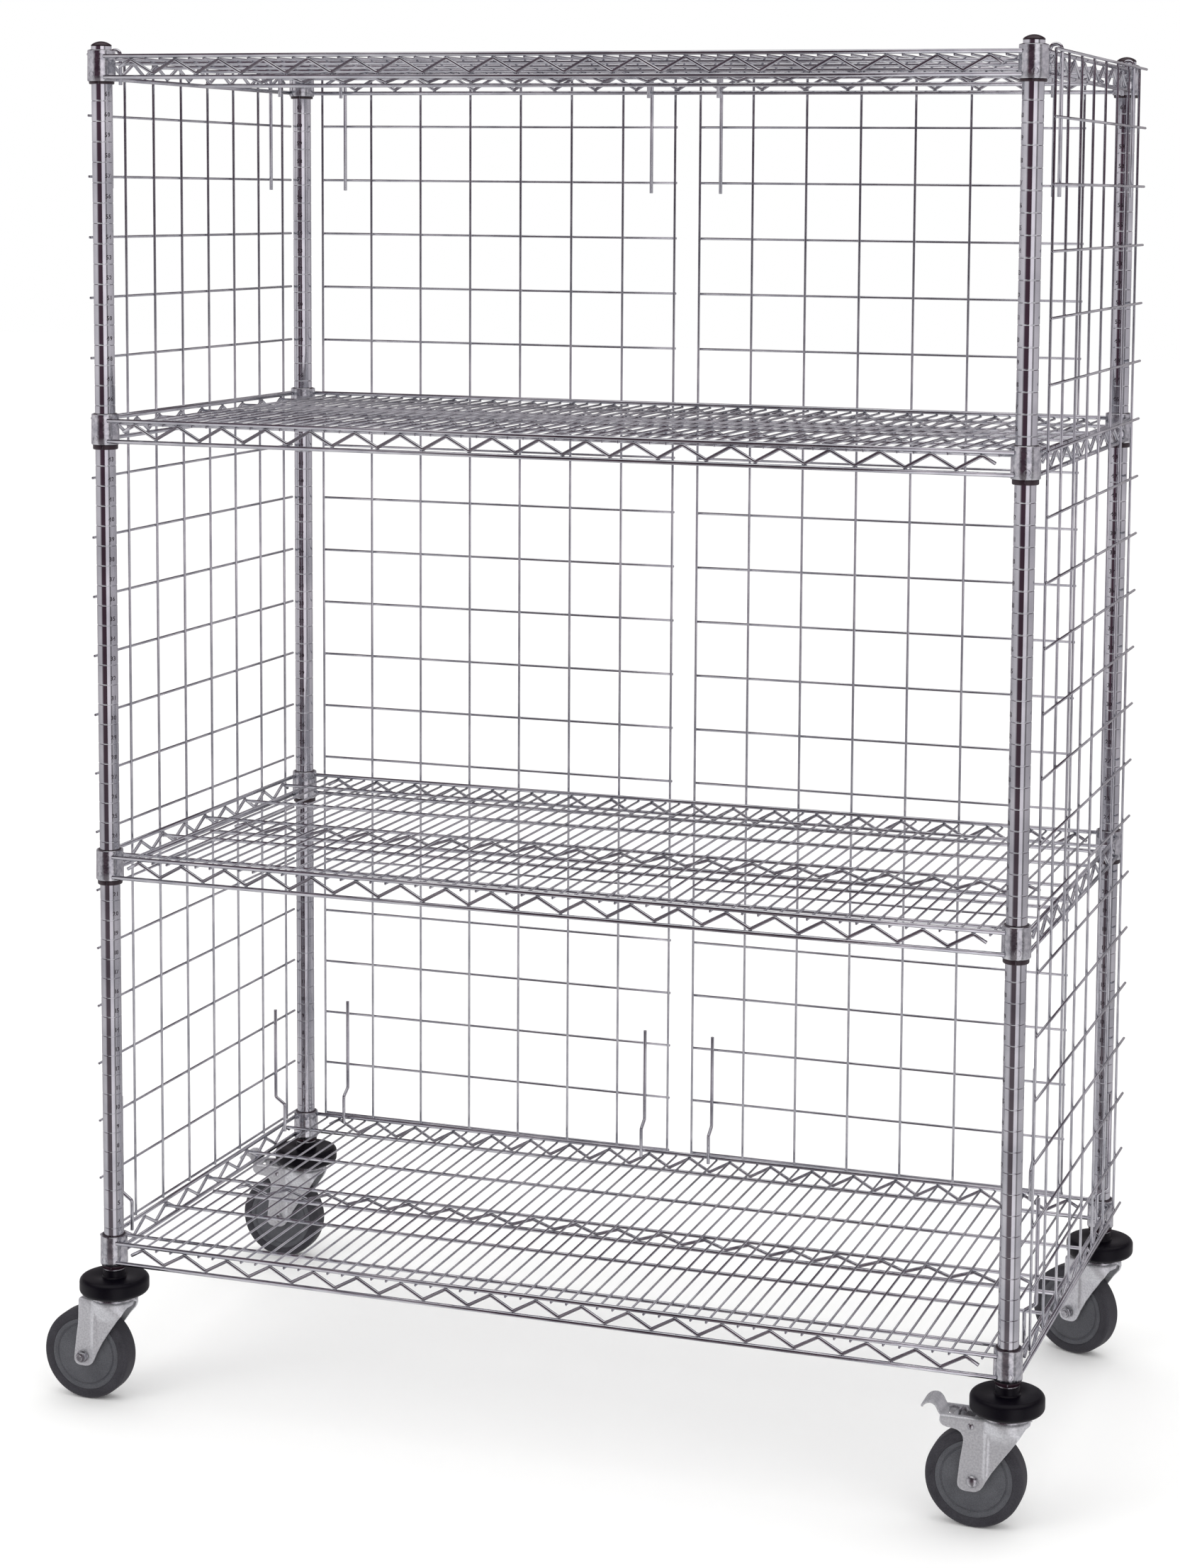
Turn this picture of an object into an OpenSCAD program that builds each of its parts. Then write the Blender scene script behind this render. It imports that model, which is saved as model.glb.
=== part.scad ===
// Mobile wire shelving cart with a mesh enclosure on three sides.
// Origin: on the floor, under the middle of the cart. +X right, +Y to the back, +Z up.

/* [Posts] */
// Distance between the left and right post axes
post_span_x = 1184; // [800:1:1800]
// Distance between the front and rear post axes
post_span_y = 575; // [420:1:900]
// Outside diameter of a post
post_d = 25.4; // [22:0.1:32]
// Wall of the post tube
post_wall = 1.6; // [1.2:0.1:2.5]
// Length of a post
post_len = 1570; // [1200:1:2200]
// Height step between the rolled grooves
groove_pitch = 25.4; // [20:0.1:50]
// Height of the first groove above the foot of the post
groove_first = 3.9; // [2:0.1:20]
// Depth of a groove
groove_depth = 0.45; // [0.2:0.05:0.8]
// Width of a groove at the post's surface
groove_w = 1.6; // [1:0.1:3]

/* [Post caps] */
// Height of the domed cap above the post
cap_h = 6; // [3:0.1:12]
// How far the cap stands out past the post all round
cap_lip = 0.1; // [0:0.05:1]
// Depth of the cap's plug in the post
cap_plug = 14; // [6:1:40]

/* [Shelf heights] */
// Grooves from the bottom shelf to the lower shelf
steps_low = 20; // [10:1:26]
// Grooves from the lower shelf to the upper shelf
steps_mid = 22; // [10:1:26]
// Least length of post left above the top shelf's collars
head_room = 1.5; // [1:0.5:60]
// Underside of the bottom shelf's collar above the foot of the post
shelf_foot = 5; // [5:0.1:40]
// How much lower the top shelf sits on its sleeves than the others do
top_settle = 2.8; // [0:0.1:4]

/* [Shelf collars] */
// Wall of a sleeve at the collar's top edge, which sets the bore round the post
sleeve_wall = 1.85; // [1.2:0.05:3]
// How much narrower the collar's radius is at the top
collar_draft = 0.5; // [0:0.1:1]
// Height of a collar
collar_h = 39; // [34:0.5:60]
// Wall of the collar at its bottom edge
collar_wall = 2.3; // [1.8:0.1:4]
// How much the collar's bore narrows from bottom to top, in radius
bore_taper = 0.7; // [0.2:0.1:1.4]

/* [Split sleeves] */
// Depth of the lip that shows under the collar
lip_h = 6; // [5:0.1:12]
// Depth of that lip on the bottom shelf, just above the caster's flange
foot_lip = 4.8; // [2:0.1:4.8]
// How far the lip stands out past the bore
lip_out = 0.4; // [0.1:0.1:2]
// Gap between the two halves of a sleeve
split_gap = 1.2; // [0.5:0.1:3]
// Turn of the split, seen from above
split_turn = 12; // [0:1:90]

/* [Shelf wires] */
// Diameter of the rim wires
rim_d = 5.4; // [4:0.1:8]
// Rim wires stand this far outside the line of the post axes
rim_out = 13; // [10:0.5:14]
// Lower rim wire above the bottom of the collar
rim_low = 5; // [4:0.5:10]
// Height between the lower and upper rim wires
rim_rise = 26; // [22:0.5:40]
// Thickness of the zigzag wire between the rims
truss_d = 4.4; // [3:0.1:6]
// Diameter of a deck wire
deck_d = 3; // [2:0.1:5]
// Distance between deck wires
deck_pitch = 20.14; // [14:0.01:40]
// Deck wires in one zigzag of the truss
truss_every = 3; // [2:1:5]
// Diameter of the wires that run along under the deck
cross_d = 4.5; // [4:0.1:8]
// Distance between the wires under the deck
cross_pitch = 124; // [80:1:200]
// Nearest that the first deck wire comes to the post axis
deck_margin = 27; // [22:1:60]

/* [Enclosure panels] */
// Size of one mesh cell
cell = 76.2; // [50:0.1:100]
// Cells across one panel
cells_wide = 7; // [4:1:10]
// Diameter of the mesh wires
mesh_d = 3.4; // [2.5:0.1:5]
// Diameter of the hook rods
hook_d = 4.8; // [4:0.1:6]
// Gap between the two rear panels
rear_gap = 36.4; // [10:0.1:80]
// How far the pair of rear panels hangs to the right of the middle
rear_shift = -18.2; // [-40:0.1:40]
// Outer layer of the mesh stands this far outside the line of the post axes
panel_out = 24.2; // [24:0.1:40]
// Top rail of a panel above the top of the rim
rail_over = 0.7; // [0:0.1:5]
// Rail ends past the last upright on a rear panel
rear_over = 2; // [1:0.5:10]
// Rail ends past the front upright on a side panel
side_over_front = 12; // [2:0.5:20]
// Rail ends past the rear upright on a side panel
side_over_rear = 34; // [2:0.5:40]
// Top of the hook above the rim
hook_rise = 10.5; // [8:0.5:20]
// Hook's free end below the lower rim
hook_drop = 4.5; // [3:0.5:20]
// Hook's leg past the second rail
leg_past = 14.5; // [5:0.5:25]
// Lower hook's step above the top of the bottom rim
jog_over = 39; // [20:1:60]
// Radius of the bends in the lower hook's step, at the middle of the rod
jog_r = 4; // [3.4:0.1:6]
// Lower hook's rod past the second rail from the bottom
rod_past = 19.5; // [5:0.5:30]
// Lower hook's free end below the top of the rim
rod_under = 10; // [4:0.5:16]

/* [Casters] */
// Diameter of a wheel
wheel_d = 120; // [90:1:160]
// Width of a wheel's tread
tread_w = 29; // [22:0.5:40]
// Thickness of the tread
tread_t = 12; // [6:0.5:20]
// Axle behind the swivel axis
trail = 36; // [28:0.5:48]
// Turn of the rear right caster at rest
rr_turn = -20; // [-40:1:40]
// Space between the fork's cheeks
fork_gap = 37; // [34:0.5:50]
// Thickness of the fork's plate
fork_t = 2.6; // [2:0.1:4]
// Space over the wheel under the fork's crown
crown_gap = 14.4; // [12:0.2:24]
// Radius of the raceway
race_r = 29.5; // [24:0.5:36]
// Height of the raceway
race_h = 7.2; // [5:0.1:12]
// Radius of the round bumper
bumper_r = 44.8; // [36:0.1:60]
// Height of the round bumper
bumper_h = 22; // [12:0.5:40]
// Rounding of the bumper's edges
bumper_round = 6; // [2:0.5:9]
// Height of the bumper's neck up to the post
neck_h = 8.8; // [4:0.5:30]
// Radius of the stem's pin
stem_r = 6; // [4:0.1:8]
// Thickness of the flange under the post
flange_t = 2; // [1:0.1:4]
// Radius of the axle bolt
axle_r = 4; // [3:0.1:5]

/* [Clearances] */
// Gap between welded wires, kept as separate solids
weld = 0.02; // [0.02:0.01:0.1]
// Gap around a part that turns on a pin
run_gap = 0.05; // [0.02:0.01:0.1]
// Gap between fixed parts that sit together
seat_gap = 0.1; // [0.05:0.01:0.3]

/* [Hidden] */
$fn = 48;
eps = 0.01;

// posts
px = post_span_x / 2;
py = post_span_y / 2;
post_r = post_d / 2;
bore_r = post_r - post_wall;

// caster heights, from the floor up
axle_z = wheel_d / 2;
crown_under = wheel_d + crown_gap;
crown_z = crown_under + fork_t;
race_top = crown_z + eps + race_h;
bumper_z = race_top + 0.3;
neck_z = bumper_z + bumper_h;
flange_z = neck_z + neck_h + seat_gap;
post_z = flange_z + flange_t + seat_gap;
post_top = post_z + post_len;

// shelves, each given by the underside of its collars
bottom_z = post_z + shelf_foot;
lower_z = bottom_z + steps_low * groove_pitch;
upper_z = lower_z + steps_mid * groove_pitch;
steps_up = floor((post_len - shelf_foot - collar_h - head_room) / groove_pitch);
top_z = bottom_z + steps_up * groove_pitch - top_settle;

// collar bore and sleeve
bore_r2 = post_r + run_gap + sleeve_wall;
bore_r1 = bore_r2 + bore_taper;
collar_r = bore_r1 + collar_wall;

// shelf wires
rim_r = rim_d / 2;
rim_top = rim_low + rim_rise + rim_r;
deck_z = rim_low + rim_rise - rim_r - deck_d / 2 - weld;
cross_z = deck_z - deck_d / 2 - cross_d / 2 - weld;
deck_half = floor((px - deck_margin) / deck_pitch);
truss_pitch = truss_every * deck_pitch;
truss_gap = rim_rise - rim_d;
cross_half = floor((py - deck_margin) / cross_pitch);

// panels: uprights lie inside the rails, hook rods inside the rails too
panel_w = cells_wide * cell;
rail_hi = top_z + rim_top + rail_over;
cells_high = floor((rail_hi - bottom_z - rim_low - rim_rise / 2) / cell);
rail_lo = rail_hi - cells_high * cell;
upright_out = panel_out - mesh_d - weld;
leg_out = panel_out - mesh_d / 2 - hook_d / 2 - weld;
arch_r = leg_out - rim_out;
stub_out = rim_out - arch_r;
arch_z = top_z + rim_top + hook_rise - hook_d / 2 - arch_r;

// forks
cheek_out = fork_gap / 2 + fork_t;
leg_w = 16;
crown_r = race_r + 0.5;
crown_back = 41;
bracket_reach = 75;
pivot = [-39, crown_z - 10];
pivot_r = 3;
nut_r = 8.1;
nut_h = 6.5;
head_r = 7.3;
hub_r = 11;

POSTS = [[-px, -py], [px, -py], [-px, py], [px, py]];
TURNS = [0, 0, 0, rr_turn];
// side of each axle that carries the nut, -1 front and 1 back
NUTS = [-1, 1, 1, -1];

// points of an arc, from angle a0 to a1
function arc(cx, cy, r, a0, a1, n = 6) =
    [for (i = [0:n]) let (a = a0 + (a1 - a0) * i / n) [cx + r * cos(a), cy + r * sin(a)]];

// one notch of the post's outline, going up
function notch(z) = [
    [post_r, z - groove_w / 2], [post_r - groove_depth, z - groove_w / 4],
    [post_r - groove_depth, z + groove_w / 4], [post_r, z + groove_w / 2]];

module at_posts() {
    for (p = POSTS) translate([p[0], p[1], 0]) children();
}

// ---- posts ----

module post(i) {
    last = floor((post_len - groove_first - groove_w) / groove_pitch);
    notches = [for (k = [0:last]) each notch(groove_first + k * groove_pitch)];
    color("gainsboro") translate([POSTS[i][0], POSTS[i][1], post_z]) rotate_extrude()
        polygon(concat([[bore_r, 0], [post_r, 0]], notches, [[post_r, post_len], [bore_r, post_len]]));
}

// domed plug in the top of each post
module post_caps() {
    cap_r = post_r + cap_lip;
    dome_r = (cap_r * cap_r + cap_h * cap_h) / (2 * cap_h);
    color("#241a20") at_posts() translate([0, 0, post_top + seat_gap]) {
        intersection() {
            translate([0, 0, cap_h - dome_r]) sphere(dome_r);
            cylinder(r = cap_r, h = cap_h);
        }
        translate([0, 0, -cap_plug]) cylinder(r = bore_r - seat_gap, h = cap_plug + 0.5);
    }
}

// ---- shelves ----

// cast collars at the corners, each with a tapered bore
module shelf_collars(z) {
    color("silver") at_posts() translate([0, 0, z]) difference() {
        cylinder(r1 = collar_r, r2 = collar_r - collar_draft, h = collar_h);
        translate([0, 0, -1]) cylinder(
            r1 = bore_r1 + bore_taper / collar_h,
            r2 = bore_r2 - bore_taper / collar_h, h = collar_h + 2);
    }
}

// one rim wire from collar to collar
module rim_wire(len) {
    translate([0, rim_out, 0]) difference() {
        rotate([0, 90, 0]) cylinder(d = rim_d, h = len, center = true);
        for (s = [-1, 1]) translate([s * len / 2, -rim_out, -rim_d])
            cylinder(r = collar_r + weld, h = 2 * rim_d);
    }
}

// zigzag wire in the XZ plane, from -n to n upper bends, with a short free end each way
module zigzag(n, pitch, gap) {
    steep = 2 * (gap - truss_d * 1.15) / pitch;
    tall = truss_d * sqrt(1 + steep * steep);
    a = gap / 2 - weld - tall / 2;
    tail = 16;
    mid = [for (i = [-2 * n:2 * n]) [i * pitch / 2, abs(i) % 2 == 0 ? a : -a]];
    ends = a - tail * 4 * a / pitch;
    line = concat([[-n * pitch - tail, ends]], mid, [[n * pitch + tail, ends]]);
    last = len(line) - 1;
    rotate([90, 0, 0]) linear_extrude(truss_d, center = true) polygon(concat(
        [for (p = line) p - [0, tall / 2]],
        [for (i = [0:last]) line[last - i] + [0, tall / 2]]));
}

// double rims and the zigzags between them, and the zigzag of the middle
module shelf_rims(z) {
    mid_z = z + rim_low + rim_rise / 2;
    side_n = floor((py - deck_margin) / truss_pitch);
    front_n = floor(deck_half / truss_every);
    low = z + rim_low + rim_r;
    high = z + cross_z - cross_d / 2;
    color("gainsboro") {
        for (h = [z + rim_low, z + rim_low + rim_rise], s = [0, 180]) {
            rotate([0, 0, s]) translate([0, py, h]) rim_wire(post_span_x);
            rotate([0, 0, s + 90]) translate([0, px, h]) rim_wire(post_span_y);
        }
        for (s = [-1, 1]) {
            translate([0, s * (py + rim_out), mid_z]) zigzag(front_n, truss_pitch, truss_gap);
            translate([s * (px + rim_out), 0, mid_z]) rotate([0, 0, 90])
                zigzag(side_n, truss_pitch, truss_gap);
        }
        translate([0, 0, (low + high) / 2]) zigzag(front_n, truss_pitch, high - low);
    }
}

// deck wires, the wires that carry them and the lower wire of the middle truss
module shelf_deck(z) {
    deck_len = post_span_y + 2 * rim_out - truss_d - 2 * weld;
    cross_len = post_span_x + 2 * rim_out - truss_d - 2 * weld;
    color("lightgray") {
        for (i = [-deck_half:deck_half]) translate([i * deck_pitch, 0, z + deck_z])
            rotate([90, 0, 0]) cylinder(d = deck_d, h = deck_len, center = true);
        for (j = [-cross_half:cross_half]) translate([0, j * cross_pitch, z + cross_z])
            rotate([0, 90, 0]) cylinder(d = cross_d, h = cross_len, center = true);
        translate([0, 0, z + rim_low]) rotate([0, 90, 0])
            cylinder(d = rim_d, h = cross_len - 2 * rim_d, center = true);
    }
}

// tapered plastic sleeve in two halves, gripping the post inside each collar
module shelf_sleeves(z, lip) {
    color("#2c1a22") at_posts() translate([0, 0, z]) difference() {
        union() {
            cylinder(r1 = bore_r1 - run_gap, r2 = bore_r2 - run_gap, h = collar_h);
            translate([0, 0, -lip]) cylinder(r = bore_r1 + lip_out, h = lip - seat_gap);
            translate([0, 0, -seat_gap - 1]) cylinder(r = bore_r1 - run_gap, h = seat_gap + 1 + eps);
        }
        translate([0, 0, -lip - 1]) cylinder(r = post_r + run_gap, h = collar_h + lip + 2);
        rotate([0, 0, split_turn]) cube([split_gap, 4 * collar_r, 4 * collar_h], center = true);
    }
}

// ---- enclosure panels, drawn with their width along X and their outside towards +Y ----

module mesh_grid(over_lo, over_hi) {
    rise = rail_hi - rail_lo;
    color("gainsboro") {
        for (k = [0:cells_high]) translate([-panel_w / 2 - over_lo, 0, rail_lo + k * cell])
            rotate([0, 90, 0]) cylinder(d = mesh_d, h = panel_w + over_lo + over_hi);
        for (k = [0:cells_wide])
            translate([-panel_w / 2 + k * cell, upright_out - panel_out, rail_lo - mesh_d / 2])
            cylinder(d = mesh_d, h = rise + mesh_d);
    }
}

// hook over the top rim: leg on the mesh, arch, free end inside the rim
module top_hook() {
    leg_z = rail_hi - cell - cell - leg_past;
    stub_z = top_z + rim_low - rim_r - hook_drop;
    translate([0, leg_out, leg_z]) cylinder(d = hook_d, h = arch_z - leg_z);
    translate([0, rim_out, arch_z]) rotate([90, 0, 90])
        rotate_extrude(angle = 180) translate([arch_r, 0]) circle(d = hook_d);
    translate([0, stub_out, stub_z]) cylinder(d = hook_d, h = arch_z - stub_z);
}

// rod on the lower mesh that steps inwards and drops behind the bottom shelf's rim
module low_hook() {
    rod_top = rail_lo + 2 * cell + rod_past;
    step_z = bottom_z + rim_top + jog_over;
    rod_end = bottom_z + rim_top - rod_under;
    foot_z = step_z - 2 * jog_r;
    translate([0, leg_out, step_z]) cylinder(d = hook_d, h = rod_top - step_z);
    translate([0, leg_out - jog_r, step_z]) rotate([90, 0, 90]) rotate([0, 0, -90])
        rotate_extrude(angle = 90) translate([jog_r, 0]) circle(d = hook_d);
    translate([0, stub_out + jog_r, step_z - jog_r]) rotate([-90, 0, 0])
        cylinder(d = hook_d, h = leg_out - stub_out - 2 * jog_r);
    translate([0, stub_out + jog_r, foot_z]) rotate([90, 0, 90]) rotate([0, 0, 90])
        rotate_extrude(angle = 90) translate([jog_r, 0]) circle(d = hook_d);
    translate([0, stub_out, rod_end]) cylinder(d = hook_d, h = foot_z - rod_end);
}

module hooks(xs) {
    color("silver") for (x = xs) translate([x, 0, 0]) {
        top_hook();
        low_hook();
    }
}

// middle of the gap between two deck wires nearest to x
function between_wires(x) = (round(x / deck_pitch - 0.5) + 0.5) * deck_pitch;

module side_place(s) {
    rotate([0, 0, -90 * s]) translate([0, px, 0]) children();
}

module side_grid(s) {
    side_place(s) translate([0, panel_out, 0]) mesh_grid(
        s > 0 ? side_over_rear : side_over_front, s > 0 ? side_over_front : side_over_rear);
}

module side_hooks(s) {
    side_place(s) hooks([-(panel_w - cell) / 2, (panel_w - cell) / 2]);
}

module rear_grid(s) {
    translate([rear_shift + s * (rear_gap + panel_w) / 2, py + panel_out, 0]) mesh_grid(rear_over, rear_over);
}

module rear_hooks(s) {
    inner = between_wires(rear_shift + s * (rear_gap + cell) / 2);
    outer = between_wires(rear_shift + s * (rear_gap / 2 + panel_w - cell / 2));
    translate([0, py, 0]) hooks([inner, outer]);
}

// ---- casters ----

module at_caster(i) {
    translate([POSTS[i][0], POSTS[i][1], 0]) rotate([0, 0, TURNS[i]]) children();
}

// a solid turned on the wheel's axle
module on_axle(i) {
    at_caster(i) translate([-trail, 0, axle_z]) rotate([90, 0, 0]) children();
}

// post insert, flange, swivel pin and its riveted head
module stem(i) {
    color("darkgray") at_caster(i) {
        translate([0, 0, post_z - eps]) cylinder(r = bore_r - seat_gap, h = 60);
        translate([0, 0, flange_z]) cylinder(r = post_r + 1.3, h = flange_t);
        translate([0, 0, crown_under - 3]) cylinder(r = stem_r, h = post_z - crown_under + 3);
        translate([0, 0, crown_under - 4.7]) cylinder(r = 9.5, h = 4.5);
    }
}

// soft round bumper with a neck that reaches the post
module bumper(i) {
    r = bumper_round;
    color("#16131c") at_caster(i) translate([0, 0, bumper_z]) rotate_extrude() polygon(concat(
        [[stem_r + 0.2, 0]],
        arc(bumper_r - r, r, r, -90, 0),
        arc(bumper_r - r, bumper_h - r, r, 0, 90),
        [[14.6, bumper_h], [14.6, bumper_h + neck_h], [stem_r + 0.2, bumper_h + neck_h]]));
}

// raceway between the crown and the bumper
module race(i) {
    color("silver") at_caster(i) translate([0, 0, crown_z + eps]) rotate_extrude() polygon([
        [stem_r + run_gap, 0], [race_r - 1, 0], [race_r, 1.2], [race_r, race_h * 0.42],
        [race_r - 1.4, race_h * 0.5], [race_r - 0.6, race_h * 0.58], [race_r - 1.6, race_h],
        [stem_r + run_gap, race_h]]);
}

// outline of one cheek, x forward of the swivel axis and y up
function cheek_leg() = concat(
    [[-crown_back, crown_z], [-crown_back - 3, crown_z - 27]],
    arc(-trail - leg_w + 6.5, axle_z - 6.5, 6.5, 190, 270),
    arc(-trail + leg_w - 9, axle_z - 6.5, 6.5, 270, 335),
    [[-trail + leg_w + 2, axle_z + 2], [-trail + leg_w + 28, axle_z + 43]],
    [[crown_r - 18, crown_z - 22], [crown_r - 9, crown_z - 12], [crown_r - 9.6, crown_z]]);

// outline of the plate that carries the brake, ahead of the cheek
function bracket() = concat(
    [[-30, crown_z], [-bracket_reach + 12, crown_z + 0.5]],
    arc(-bracket_reach + 7, crown_z - 5.5, 7, 90, 270),
    [[-crown_back - 14, crown_z - 14]],
    arc(-crown_back - 13, crown_z - 24, 9.5, 80, 0),
    [[-30, crown_z - 40]]);

module cheek(brake) {
    linear_extrude(fork_t) union() {
        polygon(cheek_leg());
        if (brake) polygon(bracket());
    }
}

module fork(i, brake) {
    color("lightsteelblue") at_caster(i) difference() {
        union() {
            for (s = [-1, 1]) translate([0, s * (fork_gap / 2 + (s > 0 ? fork_t : 0)), 0])
                rotate([90, 0, 0]) cheek(brake);
            difference() {
                translate([0, 0, crown_under]) union() {
                    cylinder(r = crown_r, h = fork_t);
                    translate([-crown_back, -cheek_out + 0.4, 0])
                        cube([crown_back, 2 * cheek_out - 0.8, fork_t]);
                }
                if (brake) translate([-crown_back - 1, -fork_gap / 2, crown_under - 1])
                    cube([10, fork_gap, fork_t + 2]);
            }
            if (brake) translate([pivot[0], 0, pivot[1]]) rotate([90, 0, 0]) {
                cylinder(r = pivot_r, h = 2 * cheek_out - 1, center = true);
                for (s = [-1, 1]) translate([0, 0, s * (cheek_out + 0.7)])
                    cylinder(r = 4.2, h = 1.6, center = true);
            }
        }
        translate([0, 0, crown_under - 1]) cylinder(r = stem_r + run_gap, h = fork_t + 2);
        translate([-trail, 0, axle_z]) rotate([90, 0, 0])
            cylinder(r = axle_r + run_gap, h = 3 * fork_gap, center = true);
    }
}

// bolt through the fork and the wheel, with a domed head and a hexagon nut
module axle(i) {
    s = NUTS[i];
    face = cheek_out + seat_gap;
    color("whitesmoke") on_axle(i) {
        cylinder(r = axle_r, h = 2 * face + 1, center = true);
        mirror([0, 0, s > 0 ? 0 : 1]) {
            translate([0, 0, face]) intersection() {
                cylinder(r = head_r, h = 4);
                translate([0, 0, 4 - 8.7]) sphere(8.7);
            }
            translate([0, 0, -face - nut_h]) cylinder(r = nut_r, h = nut_h, $fn = 6);
            translate([0, 0, -face - nut_h - 3]) cylinder(r = axle_r, h = nut_h);
        }
    }
}

// wheel centre: hub, dished web and rim
module wheel(i) {
    r = wheel_d / 2 - tread_t - run_gap;
    half = tread_w / 2;
    color("#5a5c62") on_axle(i) rotate_extrude() polygon(concat(
        [for (s = [1, -1]) each let (
            side = [[axle_r + run_gap, fork_gap / 2 - 0.3], [hub_r, fork_gap / 2 - 0.3],
                [hub_r + 1, half - 2.5], [r - 7.5, half - 2.5], [r - 6.5, half - 4], [r - 4.5, half - 4],
                [r - 3.5, half - 1.2], [r, half - 1.2]])
            s > 0 ? side : [for (k = [7:-1:0]) [side[k][0], -side[k][1]]]]));
}

module tread(i) {
    r = wheel_d / 2;
    half = tread_w / 2;
    color("#2c2b30") on_axle(i) rotate_extrude() polygon(concat(
        [[r - tread_t, -half + 0.8], [r - tread_t + 1, -half]],
        arc(r - 4.5, -half + 4.5, 4.5, -90, 0),
        arc(r - 4.5, half - 4.5, 4.5, 0, 90),
        [[r - tread_t + 1, half], [r - tread_t, half - 0.8]]));
}

// side view of the pedal: toe plate, arm and the shoe over the tread
function pedal_outline() = let (h = crown_z) concat(
    [[-101, h + 8.6], [-96, h + 11.2]],
    arc(-88, h + 2, 10.2, 95, 30),
    [[-75.5, h - 0.6], [-58, h - 2.4], [-43, h - 3]],
    [[-41, h - 6.5], [-58, h - 6], [-58.5, h - 16.8], [-62, h - 16.2], [-64, h - 5.2]],
    [[-77, h - 3.4]], arc(-88, h + 2, 7.7, 10, 95), [[-100, h + 6]]);

module pedal(i) {
    color("lightslategray") at_caster(i) difference() {
        union() {
            rotate([90, 0, 0]) linear_extrude(fork_gap - 0.8, center = true) polygon(pedal_outline());
            translate([pivot[0], 0, pivot[1]]) rotate([90, 0, 0])
                cylinder(r = 5.6, h = fork_gap - 0.8, center = true);
            translate([-53, -7, crown_z - 3.4]) cube([3, 14, 7]);
        }
        translate([pivot[0], 0, pivot[1]]) rotate([90, 0, 0])
            cylinder(r = pivot_r + run_gap, h = 2 * fork_gap, center = true);
    }
}

post(0);  // post_front_left
post(1);  // post_front_right
post(2);  // post_rear_left
post(3);  // post_rear_right
post_caps();
shelf_collars(top_z);  // top_shelf_collars
shelf_rims(top_z);  // top_shelf_rims
shelf_deck(top_z);  // top_shelf_deck
shelf_sleeves(top_z, lip_h - top_settle);  // top_shelf_sleeves
shelf_collars(upper_z);  // upper_shelf_collars
shelf_rims(upper_z);  // upper_shelf_rims
shelf_deck(upper_z);  // upper_shelf_deck
shelf_sleeves(upper_z, lip_h);  // upper_shelf_sleeves
shelf_collars(lower_z);  // lower_shelf_collars
shelf_rims(lower_z);  // lower_shelf_rims
shelf_deck(lower_z);  // lower_shelf_deck
shelf_sleeves(lower_z, lip_h);  // lower_shelf_sleeves
shelf_collars(bottom_z);  // bottom_shelf_collars
shelf_rims(bottom_z);  // bottom_shelf_rims
shelf_deck(bottom_z);  // bottom_shelf_deck
shelf_sleeves(bottom_z, foot_lip);  // bottom_shelf_sleeves
side_grid(-1);  // left_panel_grid
side_hooks(-1);  // left_panel_hooks
side_grid(1);  // right_panel_grid
side_hooks(1);  // right_panel_hooks
rear_grid(-1);  // rear_left_panel_grid
rear_hooks(-1);  // rear_left_panel_hooks
rear_grid(1);  // rear_right_panel_grid
rear_hooks(1);  // rear_right_panel_hooks
stem(0);  // stem_front_left
stem(1);  // stem_front_right
stem(2);  // stem_rear_left
stem(3);  // stem_rear_right
bumper(0);  // bumper_front_left
bumper(1);  // bumper_front_right
bumper(2);  // bumper_rear_left
bumper(3);  // bumper_rear_right
race(0);  // race_front_left
race(1);  // race_front_right
race(2);  // race_rear_left
race(3);  // race_rear_right
fork(0, false);  // fork_front_left
fork(1, true);  // fork_front_right
fork(2, true);  // fork_rear_left
fork(3, false);  // fork_rear_right
axle(0);  // axle_front_left
axle(1);  // axle_front_right
axle(2);  // axle_rear_left
axle(3);  // axle_rear_right
wheel(0);  // wheel_front_left
wheel(1);  // wheel_front_right
wheel(2);  // wheel_rear_left
wheel(3);  // wheel_rear_right
tread(0);  // tread_front_left
tread(1);  // tread_front_right
tread(2);  // tread_rear_left
tread(3);  // tread_rear_right
pedal(1);  // pedal_front_right
pedal(2);  // pedal_rear_left
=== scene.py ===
import math
import random

import bmesh
import bpy
from mathutils import Matrix, Vector


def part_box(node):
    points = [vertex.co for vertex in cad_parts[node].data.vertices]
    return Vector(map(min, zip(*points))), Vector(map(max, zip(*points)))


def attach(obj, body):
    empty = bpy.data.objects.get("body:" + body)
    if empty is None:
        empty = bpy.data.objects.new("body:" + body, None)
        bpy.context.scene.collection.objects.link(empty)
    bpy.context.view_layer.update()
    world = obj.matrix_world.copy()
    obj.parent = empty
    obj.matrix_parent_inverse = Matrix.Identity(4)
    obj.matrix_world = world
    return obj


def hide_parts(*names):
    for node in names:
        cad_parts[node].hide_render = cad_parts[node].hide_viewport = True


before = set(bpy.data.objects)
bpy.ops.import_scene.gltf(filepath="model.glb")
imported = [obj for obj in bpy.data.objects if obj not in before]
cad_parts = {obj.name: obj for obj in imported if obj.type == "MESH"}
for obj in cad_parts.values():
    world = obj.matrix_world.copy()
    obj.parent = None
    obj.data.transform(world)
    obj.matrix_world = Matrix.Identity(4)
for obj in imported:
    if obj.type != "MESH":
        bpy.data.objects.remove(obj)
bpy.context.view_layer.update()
mm = 0.001
corners = ["front_left", "front_right", "rear_left", "rear_right"]
shelves = ["bottom", "lower", "upper", "top"]


def boxMm(node):
    low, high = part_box(node)
    return low / mm, high / mm


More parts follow.
